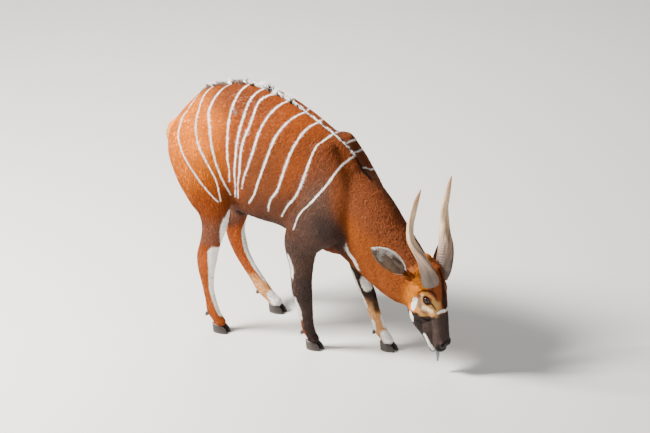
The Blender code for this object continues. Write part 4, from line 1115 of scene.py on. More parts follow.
def locksMesh(name, centre, facing, half, thick, colour, paintedShadeAlong, uv):
    # closed tapered locks, three points round each, through the centres given, ending in a point
    count, rings = centre.shape[0], centre.shape[1] - 1
    along = unit(np.gradient(centre, axis=1))
    facing = unit(facing - (facing * along).sum(axis=-1, keepdims=True) * along)
    side = np.cross(along, facing)
    points = np.empty((count, rings * 3 + 1, 3))
    for k in range(rings):
        wide, tall = half[:, k:k + 1], thick[:, k:k + 1]
        points[:, k * 3] = centre[:, k] - side[:, k] * wide
        points[:, k * 3 + 1] = centre[:, k] + facing[:, k] * tall
        points[:, k * 3 + 2] = centre[:, k] + side[:, k] * wide
    points[:, -1] = centre[:, -1]
    faces = []
    for k in range(rings - 1):
        l, m, r = k * 3, k * 3 + 1, k * 3 + 2
        for a, b in ((l, m), (m, r), (r, l)):
            faces += [(a, b, b + 3), (a, b + 3, a + 3)]
    l, tip = rings * 3 - 3, rings * 3
    faces += [(l, l + 1, tip), (l + 1, l + 2, tip), (l + 2, l, tip)]
    faces = np.array(faces)
    each = rings * 3 + 1
    allFaces = (faces[None] + (np.arange(count) * each)[:, None, None]).reshape(-1, 3)
    mesh = bpy.data.meshes.new(name)
    mesh.vertices.add(count * each)
    mesh.vertices.foreach_set("co", points.reshape(-1))
    mesh.loops.add(allFaces.size)
    mesh.loops.foreach_set("vertex_index", allFaces.reshape(-1))
    mesh.polygons.add(len(allFaces))
    mesh.polygons.foreach_set("loop_start", np.arange(len(allFaces)) * 3)
    mesh.polygons.foreach_set("use_smooth", np.ones(len(allFaces), bool))
    mesh.update()
    mesh.validate()
    tone = colour if colour.ndim == 3 else np.repeat(colour[:, None], rings + 1, axis=1)
    # painted shade: each lock is darker at its root, where the coat shades it, and lighter towards its tip
    tone = np.repeat(tone * np.array(paintedShadeAlong)[None, :, None], (3,) * rings + (1,), axis=1)
    paint(mesh, np.clip(tone, 0, 1).reshape(-1, 3))
    step = np.linspace(-0.0015, 0.0015, rings + 1)
    patch = np.array([(x, step[k]) for k in range(rings) for x in (-0.0015, 0, 0.0015)] + [(0, step[-1])])
    spread = (uv[:, None, :] + patch[None]).reshape(-1, 2)
    layer = mesh.uv_layers.new(name="OFBake")
    layer.data.foreach_set("uv", spread[allFaces.reshape(-1)].reshape(-1))
    return mesh


def lyingTufts(name, chance, count, long, wide, rise, sway, slotName):
    count //= thinning
    root = rootsOn(chance, count)
    length = long * rng.uniform(0.7, 1.25, count)
    side = np.cross(root["flow"], root["normal"])
    way = unit(root["flow"] + side * rng.normal(0, sway, (count, 1)))
    stray = rng.random(count) ** 8  # a few lift more than the rest
    heights = (-0.0012, rise, rise * 0.75)
    centre, facing = np.empty((count, 3, 3)), np.empty((count, 3, 3))
    centre[:, 0] = root["place"] + root["normal"] * heights[0]
    facing[:, 0] = root["normal"]
    for k, share in ((1, 0.5), (2, 1.0)):
        spot, out = onSkinMany(root["place"] + way * (length * share)[:, None])
        lift = heights[k] * (1 + 1.4 * stray * share) * rng.uniform(0.7, 1.2, count)
        centre[:, k], facing[:, k] = spot + out * lift[:, None], out
    half = wide / 2 * rng.uniform(0.75, 1.2, count)[:, None] * np.array((0.8, 1.0))[None]
    thick = half * 0.45
    colour = np.stack([marked(root["colour"], centre[:, k]) for k in range(3)], axis=1)
    colour *= 1 + 0.09 * rng.normal(0, 1, (count, 1, 1))
    mesh = locksMesh(name, centre, facing, half, thick, colour, (0.82, 0.99, 1.07), root["uv"])
    addPiece(mesh, name, tuftMaterial, slotName)


headPart = headShare(places)
legPart = legShare(places)
neckPart = smooth((near["trunk"] - near["neck"]) / 0.3 + 0.5) * (1 - headPart) * (places[:, 0] > 0.34)
trunkPart = np.clip(1 - headPart - legPart - neckPart, 0, 1)
right = (places[:, 1] < 0).astype(float)
rump = places[:, 0] < -0.25
tuftSizes = {  # length, width, rise from the skin, sway
    "torso": (0.016, 0.0032, 0.0017, 0.2), "neck": (0.015, 0.0030, 0.0016, 0.22),
    "lower_leg": (0.014, 0.0026, 0.0012, 0.2), "head": (0.0095, 0.0017, 0.0009, 0.25),
}
tuftSets = (  # name, where, how many, slot
    ("coatRumpRight", trunkPart * right * rump, 15500, "torso"),
    ("coatRumpLeft", trunkPart * (1 - right) * rump, 15500, "torso"),
    ("coatFlankRight", trunkPart * right * ~rump, 16500, "torso"),
    ("coatFlankLeft", trunkPart * (1 - right) * ~rump, 16500, "torso"),
    ("coatNeck", neckPart, 16500, "neck"),
    ("coatLegsFore", legPart * (places[:, 0] > 0), 11500, "lower_leg"),
    ("coatLegsHind", legPart * (places[:, 0] <= 0), 12500, "lower_leg"),
    ("coatHead", headPart * (1 - skinBare), 17000, "head"),
)
for name, chance, count, slotName in tuftSets:
    lyingTufts(name, chance + 1e-9, count, *tuftSizes[slotName], slotName)
    print("tufts", name)

# The crest: short upright hair along the spine, grey-brown over the rump, white over the loin, dark to the
# withers.
crest = {"clumps": 230, "hairs": 22, "from": -0.52, "to": 0.46, "tall": 0.034, "wide": 0.0026,
         "spread": 0.0075}


def crestHair():
    clumps = crest["clumps"]
    hairs = crest["hairs"] // 1
    x0 = np.linspace(crest["from"], crest["to"], clumps) + rng.normal(0, 0.002, clumps)
    low = smooth((x0 + 0.02) / 0.12)  # the crest is only a line over the withers
    y0 = rng.normal(0, 1, clumps) * crest["spread"] * (1 - 0.65 * low)
    tall0 = crest["tall"] * smooth((x0 + 0.56) / 0.10) * rng.uniform(0.50, 1.05, clumps) * (1 - 0.62 * low)
    lean0 = rng.normal(0, 0.22, (clumps, 3))
    stripes = np.array([line[0] for line in stripeMarks["lines"] if line[0] is not None])
    joint = np.abs(x0[:, None] - stripes[None]).min(axis=1) < 0.010
    pale = joint | ((x0 > -0.22) & (x0 < 0.37) & (np.abs(y0) < 0.006) & (rng.random(clumps) > 0.30))
    pick = np.repeat(np.arange(clumps), hairs)
    count = len(pick)
    x = x0[pick] + rng.normal(0, 0.0035, count)
    y = y0[pick] + rng.normal(0, 0.0030, count) * (1 - 0.5 * low[pick])
    start = np.stack([x, y, np.full(count, 1.6)], axis=1)
    found = [skinTree.ray_cast(s, (0, 0, -1))[:2] for s in start.tolist()]
    root = np.array([f[0] for f in found])
    out = np.array([f[1] for f in found])
    tall = tall0[pick] * rng.uniform(0.45, 1.0, count) * np.where(joint[pick], 1.15, 1.0)
    back = np.array((-0.75, 0, 0.10)) * (0.5 + 0.6 * rng.random((count, 1)))
    lean = unit(out * 0.9 + back + lean0[pick] + rng.normal(0, 0.13, (count, 3)))
    bend = unit(lean + np.array((-0.60, 0, -0.15)) + lean0[pick] * 0.6)
    steps = (0.0, 0.34, 0.68)
    centre = np.stack([root - out * 0.002 + lean * (tall * s)[:, None] for s in steps]
                      + [root + lean * (tall * 0.68)[:, None] + bend * (tall * 0.34)[:, None]], axis=1)
    side = np.array((0.0, 1.0, 0.0)) + rng.normal(0, 0.35, (count, 3))
    facing = np.repeat(side[:, None], 4, axis=1)
    half = crest["wide"] / 2 * rng.uniform(0.6, 1.1, (count, 1)) * np.array((0.9, 0.9, 0.55))
    dark = np.where(x0 < -0.20, 0, 1)[pick]
    brown = linear("#54403a")[None] * (1 - dark)[:, None] + linear("#211916")[None] * dark[:, None]
    brown = brown + (linear("#a79589") - brown) * ((1 - dark) * (rng.random(count) < 0.16))[:, None]
    colour = np.where(pale[pick][:, None], linear(coatTones["white"]), brown)
    colour = colour * (1 + 0.12 * rng.normal(0, 1, (count, 1)))
    # painted shade at the roots of the crest hair, lighter towards the tips
    paintedShadeAlong = (0.75, 0.95, 1.05, 1.15)
    return locksMesh("crest", centre, facing, half, half * 0.6, colour, paintedShadeAlong, rootUv(root))


vertexUv = np.zeros((len(places), 2))
vertexUv[corners.reshape(-1)] = cornerUv.reshape(-1, 2)
vertexTree = treeOf(places.tolist())


def rootUv(spots):
    return vertexUv[[vertexTree.find(s)[1] for s in spots.tolist()]]


addPiece(crestHair(), "crest", tuftMaterial, "torso")

# The tail: a thin haired stem that hangs between the hind legs, with a dark tuft at its end.
tailRows = (
    (-0.640, 0.000, 0.985, 0.028, 0.026, 0.026), (-0.685, 0.003, 0.945, 0.023, 0.020, 0.020),
    (-0.700, 0.008, 0.890, 0.017, 0.0145, 0.0145), (-0.682, 0.018, 0.810, 0.013, 0.0115, 0.0115),
    (-0.645, 0.031, 0.730, 0.011, 0.0105, 0.0105), (-0.608, 0.045, 0.650, 0.010, 0.0095, 0.0095),
    (-0.580, 0.057, 0.590, 0.008, 0.007, 0.007),
)
tail = {"samples": 200, "stemTufts": 2200, "stemHair": 0.014, "stemFrom": 12, "stemTo": 185,
        "endTufts": 1100, "endHair": 0.115, "endFrom": 118}


def tubeUv(mesh, count, around):  # a plain unwrap of a tube mesh, round and along
    layer = mesh.uv_layers.new(name="OFBake")
    total = count * around
    for loop in mesh.loops:
        v = loop.vertex_index
        ring, turn = (v // around, v % around) if v < total else ((0, 0) if v == total else (count - 1, 0))
        layer.data[loop.index].uv = (0.02 + 0.96 * turn / around, 0.02 + 0.96 * ring / count)


def stemSpokes(line, pick, turn):  # the way along the tail and out of it, at samples of it and turns round it
    along = unit(np.gradient(line[:, :3], axis=0))[pick]
    first = unit(np.cross(along, np.array((0.0, 1.0, 0.0))))
    second = np.cross(along, first)
    spoke = first * np.cos(turn)[:, None] + second * np.sin(turn)[:, None]
    uv = np.stack([0.02 + 0.96 * turn / (2 * math.pi), 0.02 + 0.96 * pick / tail["samples"]], axis=1)
    return along, spoke, uv


def tailStem():
    stem = loftMesh("tailStem", tailRows, Vector((-1, 0, 0.3)), 60, 20)
    tubeUv(stem, 66, 20)
    at = placesOf(stem)
    share = smooth((0.98 - at[:, 2]) / 0.4)
    paint(stem, partTone(np.tile(linear(coatTones["haunch"]), (len(at), 1)), share * 0.6, "flank"))
    shadeSmooth(stem)
    addPiece(stem, "tailStem", coatMaterial, "tail", "tail")


def tailHair(line):  # short hair that lies along the stem
    count = tail["stemTufts"] // thinning
    pick = rng.integers(tail["stemFrom"], tail["stemTo"], count)
    turn = rng.uniform(0, 2 * math.pi, count)
    along, spoke, uv = stemSpokes(line, pick, turn)
    reach = line[pick, 4][:, None]
    long = tail["stemHair"] * rng.uniform(0.7, 1.2, (count, 1))
    steps = ((0.0, 0.95), (0.5, 1.05), (1.0, 1.0))
    centre = np.stack([line[pick, :3] + spoke * reach * s + along * long * k for k, s in steps], axis=1)
    facing = np.repeat(spoke[:, None], 3, axis=1)
    half = 0.0016 * rng.uniform(0.7, 1.2, (count, 1)) * np.array((0.8, 1.0))
    low = smooth((0.98 - line[pick, 2]) / 0.4)
    colour = partTone(np.tile(linear(coatTones["haunch"]), (count, 1)), low * 0.7, "flank")
    colour *= 1 + 0.10 * rng.normal(0, 1, (count, 1))
    mesh = locksMesh("tailHair", centre, facing, half, half * 0.5, colour, (0.8, 1.0, 1.08), uv)
    addPiece(mesh, "tailHair", tuftMaterial, "tail")


def tailTuft(line):  # the long hair of the end
    count = tail["endTufts"] // thinning
    span = tail["samples"] - 1 - tail["endFrom"]
    pick = (tail["endFrom"] + span * rng.random(count) ** 0.7).astype(int)
    turn = rng.uniform(0, 2 * math.pi, count)
    along, spoke, uv = stemSpokes(line, pick, turn)
    grown = 0.6 + 0.4 * ((pick - tail["endFrom"]) / span)[:, None]
    long = tail["endHair"] * rng.uniform(0.55, 1.0, (count, 1)) * grown
    spread = rng.uniform(0.1, 1.0, (count, 1)) ** 1.6 * 0.026
    centre = np.stack([line[pick, :3] + spoke * (line[pick, 4][:, None] * 0.8 + spread * s) + along * long * k
                       for k, s in ((0.0, 0.0), (0.3, 0.65), (0.65, 0.9), (1.0, 0.55))], axis=1)
    facing = np.repeat(spoke[:, None], 4, axis=1)
    half = 0.0017 * rng.uniform(0.7, 1.2, (count, 1)) * np.array((0.8, 1.0, 0.8))
    colour = linear("#2b1c17") * (1 + 1.2 * rng.random((count, 1)) ** 3)
    mesh = locksMesh("tailTuft", centre, facing, half, half * 0.6, colour, (0.7, 1.0, 1.1, 1.2), uv)
    addPiece(mesh, "tailTuft", tuftMaterial, "tail")


tailStem()
tailLine = through(tailRows, tail["samples"])
tailHair(tailLine)
tailTuft(tailLine)
print("tail done")

# Ears: root, tip and the way the cup faces, by side (-1 is the animal's right).
ears = {
    "halfWidth": 0.0480, "thickness": 0.0036, "along": 46, "across": 30,  # the upper edge lies at j = -1
    "stalk": 0.19,
    "profile": ((-0.25, -0.1, 0, 0.07, 0.2, 0.33, 0.5, 0.7, 0.85, 0.95, 1.0),
                (0.36, 0.38, 0.44, 0.54, 0.74, 0.91, 1.0, 0.89, 0.60, 0.31, 0.06)),
    -1: ((0.757, -0.088, 0.500), (0.620, -0.232, 0.674), (0.781, -0.616, 0.104)),
    1: ((0.755, 0.085, 0.500), (0.728, 0.290, 0.535), (0.90, 0.10, 0.42)),
}


def earFrame(side):
    root, tip, opening = (Vector(v) for v in ears[side])
    axis = (tip - root).normalized()
    opens = (opening - opening.dot(axis) * axis).normalized()
    return root, axis, (tip - root).length, opens, axis.cross(opens) * side


def earPoint(side, u, j, layer):  # u from root to tip, j from -1 to 1 across, layer -1 inside and 1 outside
    root, axis, length, opens, wide = earFrame(side)
    cup = (u - ears["stalk"]) / (1 - ears["stalk"])  # the cup opens past a narrow haired stalk
    half = ears["halfWidth"] * float(np.interp(cup, ears["profile"][0], ears["profile"][1]))
    bend = math.radians(168 - 108 * float(smooth((cup + 0.15) / 0.62)))
    radius = half / math.sin(min(bend, math.pi / 2))
    a = bend * j
    spoke = wide * math.sin(a) - opens * math.cos(a)
    rim = 1 - 0.75 * abs(j) ** 4
    middle = root + axis * (u * length) + opens * (radius - 0.006 * math.sin(math.pi * u))
    middle -= wide * (0.007 * math.sin(math.pi * min(max(cup, 0), 1)))
    ripple = 0.0012 * math.sin(9 * a + 5 * u) * (1 - u) * (layer < 0)
    return middle + spoke * (radius + layer * ears["thickness"] / 2 * rim + ripple), spoke * layer


def earTone(u, j, layer):
    cup = (u - ears["stalk"]) / (1 - ears["stalk"])

    if layer > 0:
        return blend(linear(coatTones["neck"]), "#33241e", smooth((u - 0.35) / 0.35) * 0.8)
    tone = linear("#8d7a6c")
    tone = blend(tone, "#c2a286", smooth((j - 0.05) / 0.5) * smooth((0.62 - cup) / 0.3) * 0.9)
    tone = blend(tone, "#3a2a24", smooth((0.24 - abs(j + 0.40)) / 0.14) * smooth((cup - 0.12) / 0.1)
               * smooth((0.80 - cup) / 0.12) * 0.85)
    tone = blend(tone, "#4a2f26", smooth((0.13 - abs(j + 0.12)) / 0.1) * smooth((cup - 0.3) / 0.1) * 0.7)
    tone = blend(tone, coatTones["neck"], smooth((0.03 - cup) / 0.06))
    tone = blend(tone, coatTones["white"], smooth((-j - 0.66) / 0.08) * smooth((cup + 0.02) / 0.05))
    tone = blend(tone, coatTones["white"], smooth((cup - 0.84) / 0.08) * smooth((0.2 - j) / 0.2) * 0.9)
    return blend(tone, "#c99a6c", smooth((j - 0.90) / 0.06) * smooth((cup + 0.02) / 0.05) * 0.6)


def earPieces(side, word):
    rows, columns = ears["along"] + 1, ears["across"] + 1
    points, tones, faces = [], [], []
    for layer in (1, -1):
        for i in range(rows):
            for k in range(columns):
                u, j = i / ears["along"], 2 * k / ears["across"] - 1
                points.append(earPoint(side, u, j, layer)[0][:])
                tones.append(earTone(u, j, layer))
    shift = rows * columns
    for i in range(rows - 1):
        for k in range(columns - 1):
            a, b = i * columns + k, i * columns + k + 1
            c, d = b + columns, a + columns
            faces += [(a, b, c, d), (shift + d, shift + c, shift + b, shift + a)]
    for i in range(rows - 1):
        for k in (0, columns - 1):
            a, b = i * columns + k, (i + 1) * columns + k
            faces.append((a, b, shift + b, shift + a))
    for k in range(columns - 1):
        for i in (0, rows - 1):
            a, b = i * columns + k, i * columns + k + 1
            faces.append((a, b, shift + b, shift + a))
    mesh = closedMesh("ear", points, faces)
    layer = mesh.uv_layers.new(name="OFBake")
    for loop in mesh.loops:
        v = loop.vertex_index
        sheet, v = divmod(v, shift)
        i, k = divmod(v, columns)
        layer.data[loop.index].uv = (0.02 + 0.46 * k / columns + 0.5 * sheet, 0.02 + 0.96 * i / rows)
    paint(mesh, np.array(tones))
    shadeSmooth(mesh)
    addPiece(mesh, f"ear{word}", coatMaterial, "ear", f"ear_{word.lower()}")
    earHair(side, word)


def earHair(side, word):
    _, axis, _, _, wide = earFrame(side)
    centre, facing, half, colour, uv = [], [], [], [], []

    def addLock(u, j, layer, long, width, tone, lean, bend):
        at, out = earPoint(side, u, j, layer)
        edgeWay = (wide * math.copysign(1, j)).normalized()
        way = (axis * lean[0] + edgeWay * lean[1] + out * lean[2]).normalized()
        curl = (way + axis * bend).normalized()
        long *= 1 - 0.7 * float(smooth((u - 0.8) / 0.2))
        centre.append([at[:], (at + way * long * 0.4)[:], (at + way * long * 0.4 + curl * long * 0.6)[:]])
        facing.append([out[:]] * 3)
        half.append((width * 0.9, width * 0.7))
        colour.append(tone * rng.uniform(0.82, 1.14))
        uv.append((0.02 + 0.46 * (j + 1) / 2 + (0.5 if layer < 0 else 0), 0.02 + 0.96 * u))

    white = linear(coatTones["white"])
    for _ in range(3400 // thinning):  # the short coat of the back
        u, j = rng.uniform(0.0, 0.97), rng.uniform(-0.96, 0.96)
        addLock(u, j, 1, 0.011 * rng.uniform(0.7, 1.2), 0.0013, earTone(u, j, 1),
                (1.0, 0.05 * rng.normal(), 0.10), 0.2)
    for _ in range(1100 // thinning):  # white fringe of the upper rim
        addLock(rng.uniform(0.22, 1.0), rng.uniform(-0.99, -0.70), -1, 0.009 * rng.uniform(0.6, 1.1), 0.0013,
                white, (0.9, -0.10 * rng.random(), 0.25), 0.3)
    for _ in range(500 // thinning):  # tan fringe of the lower rim
        addLock(rng.uniform(0.22, 1.0), rng.uniform(0.90, 0.99), -1, 0.009 * rng.uniform(0.6, 1.1), 0.0011,
                linear("#b58a62"), (0.9, -0.25 * rng.random(), 0.25), 0.3)
    for _ in range(1500 // thinning):  # the mottled short hair of the lower half
        u, j = rng.uniform(0.24, 0.92), rng.uniform(-0.05, 0.9)
        addLock(u, j, -1, 0.010 * rng.uniform(0.6, 1.2), 0.0011, earTone(u, j, -1) * rng.uniform(0.7, 1.5),
                (0.9, 0.2 * rng.normal(), 0.35), 0.5)
    for mid, j0, j1, long in ((0.80, -0.62, 0.75, 0.018), (0.66, -0.75, -0.20, 0.012)):
        for _ in range(330 // thinning):  # long white hair across the cup
            j = rng.uniform(j0, j1)
            addLock(mid - 0.05 * (j - j0) + rng.normal(0, 0.040), j, -1, long * rng.uniform(0.5, 1.1), 0.0008,
                    linear("#e9e2d8"), (0.5, -0.9 * math.copysign(1, j) * rng.random(), 0.45), 0.3)
    half = np.array(half)
    mesh = locksMesh(f"earHair{word}", np.array(centre), np.array(facing), half, half * 0.5, np.array(colour),
                     (0.8, 1.0, 1.1), np.array(uv))
    addPiece(mesh, f"earHair{word}", tuftMaterial, "ear")


for side, word in ((-1, "Right"), (1, "Left")):
    earPieces(side, word)
print("ears done")

# Horns: keratin sheaths, ridged by yearly growth at the base, polished towards the tips, one keel that turns.
horns = {
    "rows": (
        (0.8420, -0.052, 0.468, 0.028, 0.037, 0.037), (0.8430, -0.060, 0.500, 0.032, 0.044, 0.044),
        (0.8410, -0.077, 0.553, 0.029, 0.043, 0.043), (0.8303, -0.1035, 0.618, 0.025, 0.037, 0.037),
        (0.8099, -0.1285, 0.674, 0.023, 0.029, 0.029), (0.7960, -0.1500, 0.726, 0.020, 0.024, 0.024),
        (0.7947, -0.1535, 0.806, 0.018, 0.022, 0.022), (0.8105, -0.1510, 0.877, 0.016, 0.019, 0.019),
        (0.8270, -0.1450, 0.942, 0.011, 0.013, 0.013), (0.8440, -0.1370, 0.995, 0.003, 0.003, 0.003),
    ),
    "leftShare": 0.955, "front": Vector((0.92, 0.38, 0.0)), "twist": math.radians(150), "keel": 0.19,
    "steps": 260, "around": 56, "ridgeSpacing": 0.0125, "ridgeHeight": 0.0010,
}


def hornMesh(side):
    rows, front, twist = horns["rows"], horns["front"].copy(), horns["twist"]
    if side > 0:
        seat = rows[1][2]
        rows = [(r[0], -r[1], seat + (r[2] - seat) * horns["leftShare"], *r[3:]) for r in rows]
        front.y, twist = -front.y, -twist
    steps, around = horns["steps"], horns["around"]
    rings, along, facing, wide = ringFrames(rows, front, steps)
    turn = np.linspace(0, twist, steps)[:, None]
    facing, wide = facing * np.cos(turn) + wide * np.sin(turn), wide * np.cos(turn) - facing * np.sin(turn)
    angle = np.arange(around) * 2 * math.pi / around
    cos, sin = np.cos(angle), np.sin(angle)
    share = np.linspace(0, 1, steps)
    shells = []
    long = np.concatenate([[0], np.cumsum(np.linalg.norm(np.diff(rings[:, :3], axis=0), axis=1))])
    for i in range(steps):
        spot = np.stack([cos * 0.5, sin * 0.5, np.full(around, long[i] * 30)], axis=1)
        wave = long[i] / horns["ridgeSpacing"] + 0.35 * cloud(spot, 0.9, 11)
        ridges = np.abs(np.sin(math.pi * wave)) ** 0.6 * horns["ridgeHeight"]
        ridges *= smooth((0.62 - share[i]) / 0.4)
        grain = cloud(np.stack([cos * 8, sin * 8, np.full(around, long[i] * 20)], axis=1), 1.0, 12) * 0.0003
        keel = 1 + horns["keel"] * np.maximum(sin, 0) ** 8 * (1 - 0.5 * share[i])
        flat = 1 - 0.05 * np.maximum(-sin, 0) ** 3
        slim = 0.0009 * smooth((1 - share[i]) * 6)
        deep = (rings[i, 4] - slim) * sin * keel * flat
        narrow = 1 - 0.20 * np.maximum(sin, 0) ** 2 * smooth((1 - share[i]) * 4)
        ring = rings[i, :3] + np.outer(cos * (rings[i, 3] - slim) * narrow, wide[i])
        ring += np.outer(deep, facing[i])
        out = unit(ring - rings[i, :3])
        shells.append(ring + out * (ridges + grain)[:, None])
    ends = (rings[0, :3] - along[0] * 0.01, rings[-1, :3] + along[-1] * 0.0024)
    mesh = tubeMesh("horn", np.array(shells), ends)
    tubeUv(mesh, steps, around)
    ringShare = np.append(np.repeat(share, around), (0, 1))
    across, foremost = (np.append(np.tile(way, steps), (0, 0)) for way in (cos, sin))
    face = across * math.copysign(1, twist)  # above 0 on the outer face
    streak = cloud(np.stack([across * 3, foremost * 3, ringShare * 7], axis=1), 0.5, 13)
    tones = np.tile(linear("#5f4c40"), (len(ringShare), 1))
    tones = blend(tones, "#a88a75", smooth((ringShare - 0.10 + 0.05 * streak) / 0.25))
    tones = blend(tones, "#dcb990", smooth((ringShare - 0.27 + 0.08 * streak) / 0.25) * 0.8)
    tones = blend(tones, "#b98a66", smooth((ringShare - 0.80) / 0.1) * 0.8)
    # painted shade: the inner face of each horn is darker, and a painted shadow line runs along the keel on
    # that face
    tones = tones * (1 - 0.16 * smooth((-face - 0.05) / 0.3) * smooth((foremost + 0.5) / 0.6))[:, None]
    tones = tones * (1 - 0.30 * smooth((foremost - 0.93) / 0.06) * (face < 0))[:, None]
    tones *= (1 + 0.34 * streak)[:, None]
    paint(mesh, tones)
    shadeSmooth(mesh)
    return mesh


# Horn keratin: a dull sheath worn smooth, fibres along it 0.4 mm apart, drawn at 2.4 mm.
hornMaterial, tree, shader = newMaterial("wornHornKeratin", **{"Roughness": 0.42, "IOR": 1.55})
tone = addNode(tree, "ShaderNodeAttribute", attribute_name="coat")
where = addNode(tree, "ShaderNodeTexCoord")
drawn = addNode(tree, "ShaderNodeVectorMath", {1: (420.0, 420.0, 26.0)}, {0: where.outputs["Object"]},
                operation="MULTIPLY")
fibre = addNode(tree, "ShaderNodeTexNoise", {"Scale": 1.0, "Detail": 4.0}, {"Vector": drawn.outputs[0]})
patch = addNode(tree, "ShaderNodeTexNoise", {"Scale": 60.0, "Detail": 4.0},
                {"Vector": where.outputs["Object"]})
light = addNode(tree, "ShaderNodeMapRange",
                {"From Min": 0.3, "From Max": 0.7, "To Min": 0.62, "To Max": 1.22},
                {"Value": fibre.outputs["Fac"]})
shade = addNode(tree, "ShaderNodeVectorMath", links={0: tone.outputs["Color"], 3: light.outputs[0]},
                operation="SCALE")
tree.links.new(shade.outputs[0], shader.inputs["Base Color"])
worn = addNode(tree, "ShaderNodeMapRange", {"From Min": 0.3, "From Max": 0.7, "To Min": 0.34, "To Max": 0.55},
               {"Value": patch.outputs["Fac"]})
tree.links.new(worn.outputs[0], shader.inputs["Roughness"])
bump = addNode(tree, "ShaderNodeBump", {"Strength": 0.8, "Distance": 0.0010},
               {"Height": fibre.outputs["Fac"]})
tree.links.new(bump.outputs[0], shader.inputs["Normal"])
for side, word in ((-1, "Right"), (1, "Left")):
    addPiece(hornMesh(side), f"horn{word}", hornMaterial, "horn", f"horn_{word.lower()}")
print("horns done")

# Eyes: a wet dark globe with a level slit of a pupil, as glossy as its clear cornea.
eyeMaterial, tree, shader = newMaterial("wetEyeGlobe", **{"Roughness": 0.03, "IOR": 1.376})
tone = addNode(tree, "ShaderNodeAttribute", attribute_name="coat")
tree.links.new(tone.outputs["Color"], shader.inputs["Base Color"])
# Bare skin of the lids, nose and mouth: thick, dark and moist, with pores near 1 mm, drawn at 2 mm.
bareMaterial, tree, shader = newMaterial("moistBareSkin", **{"Roughness": 0.34, "IOR": 1.4})
tone = addNode(tree, "ShaderNodeAttribute", attribute_name="coat")
tree.links.new(tone.outputs["Color"], shader.inputs["Base Color"])
where = addNode(tree, "ShaderNodeTexCoord")
pores = addNode(tree, "ShaderNodeTexVoronoi", {"Scale": 480.0}, {"Vector": where.outputs["Object"]})
bump = addNode(tree, "ShaderNodeBump", {"Strength": 0.3, "Distance": 0.0006},
               {"Height": pores.outputs["Distance"]})
tree.links.new(bump.outputs[0], shader.inputs["Normal"])


def eyePieces(side, word):
    radii = (eyeball["radius"] - 0.0002,) * 3
    globe = ballMesh("eye", (0, 0, 0), radii, Matrix.Rotation(math.pi / 2, 3, "Y"), 64, 48)
    at = placesOf(globe)
    slit = np.sqrt((at[:, 1] / 0.0072) ** 2 + (at[:, 2] / 0.0042) ** 2)
    iris = np.sqrt((at[:, 1] / 0.0135) ** 2 + (at[:, 2] / 0.0120) ** 2)
    tones = np.tile(linear("#120c0a"), (len(at), 1))
    tones = blend(tones, "#351a0e", smooth((1.05 - iris) / 0.1))
    tones = blend(tones, "#060505", smooth((1.1 - slit) / 0.15))
    layer = globe.uv_layers.new(name="OFBake")
    for loop in globe.loops:
        x, y, z = at[loop.vertex_index]
        turn = math.atan2(y, x) / math.pi
        layer.data[loop.index].uv = (0.5 + 0.48 * turn, 0.5 + 0.48 * z / eyeball["radius"])
    paint(globe, tones)
    turn = eyeTurn(side)
    globe.transform(Matrix.Translation(eyeCentre(side)) @ turn.to_4x4())
    shadeSmooth(globe)
    addPiece(globe, f"eye{word}", eyeMaterial, "eye", f"eye_{word.lower()}")
    lids(side, word, turn)


def lids(side, word, turn):
    around, across = 72, 12
    shells = []
    radius = eyeball["radius"]
    for i in range(around):
        a = 2 * math.pi * i / around
        long, wide = 0.0192, 0.0158 if math.sin(a) * side < 0 else 0.0142
        corner = 1 + 0.22 * max(math.cos(a), 0) ** 12  # the tear duct runs out at the front corner
        ring = []
        for j in range(across):
            t = 2 * math.pi * j / across
            flatWay = 0.0040 * math.cos(t)
            rise = 0.0026 * math.sin(t)
            y, z = math.cos(a) * long * corner, math.sin(a) * wide
            spoke = Vector((0, y, z)).normalized()
            high = math.sqrt(max(radius ** 2 - min(y * y + z * z, radius ** 2 * 0.93), 0))
            ring.append(Vector((high + 0.0006 + rise, y, z)) + spoke * (flatWay + 0.0012))
        shells.append(ring)
    points = [v[:] for ring in shells for v in ring]
    faces = []
    for i in range(around):
        for j in range(across):
            k, n = (i + 1) % around, (j + 1) % across
            faces.append((i * across + j, k * across + j, k * across + n, i * across + n))
    mesh = closedMesh("lids", points, faces)
    layer = mesh.uv_layers.new(name="OFBake")
    for loop in mesh.loops:
        i, j = divmod(loop.vertex_index, across)
        layer.data[loop.index].uv = (0.02 + 0.96 * i / around, 0.02 + 0.96 * j / across)
    paint(mesh, np.tile(linear("#15100e"), (len(points), 1)))
    mesh.transform(Matrix.Translation(eyeCentre(side)) @ turn.to_4x4())
    shadeSmooth(mesh)
    addPiece(mesh, f"lids{word}", bareMaterial, "head")


for side, word in ((-1, "Right"), (1, "Left")):
    eyePieces(side, word)

# The tongue: wet and blue-grey. Its buds, near 1 mm, are drawn at 2 mm.
tongueRows = ((0.420, -0.087, 0.0145, 0.0046, 0.0046), (0.450, -0.080, 0.0155, 0.0046, 0.0046),
              (0.480, -0.073, 0.0155, 0.0046, 0.0046), (0.510, -0.071, 0.0135, 0.0041, 0.0041),
              (0.535, -0.075, 0.0085, 0.0031, 0.0031))
tongueMaterial, tree, shader = newMaterial("wetTongue", **{"Roughness": 0.22, "IOR": 1.4, "Coat Weight": 0.5})
tone = addNode(tree, "ShaderNodeAttribute", attribute_name="coat")
tree.links.new(tone.outputs["Color"], shader.inputs["Base Color"])
where = addNode(tree, "ShaderNodeTexCoord")
buds = addNode(tree, "ShaderNodeTexVoronoi", {"Scale": 520.0}, {"Vector": where.outputs["Object"]})
bump = addNode(tree, "ShaderNodeBump", {"Strength": 0.5, "Distance": 0.0005},
               {"Height": buds.outputs["Distance"]})
tree.links.new(bump.outputs[0], shader.inputs["Normal"])
tongue = loftMesh("tongue", headRows(tongueRows), faceOut, 50, 28)
tubeUv(tongue, 56, 28)
at = placesOf(tongue)
paint(tongue, np.tile(linear("#8b8c9c"), (len(at), 1)) * (1 + 0.1 * cloud(at, 0.01, 14))[:, None])
shadeSmooth(tongue)
addPiece(tongue, "tongue", tongueMaterial, "tongue", "tongue")
print("eyes and tongue done")

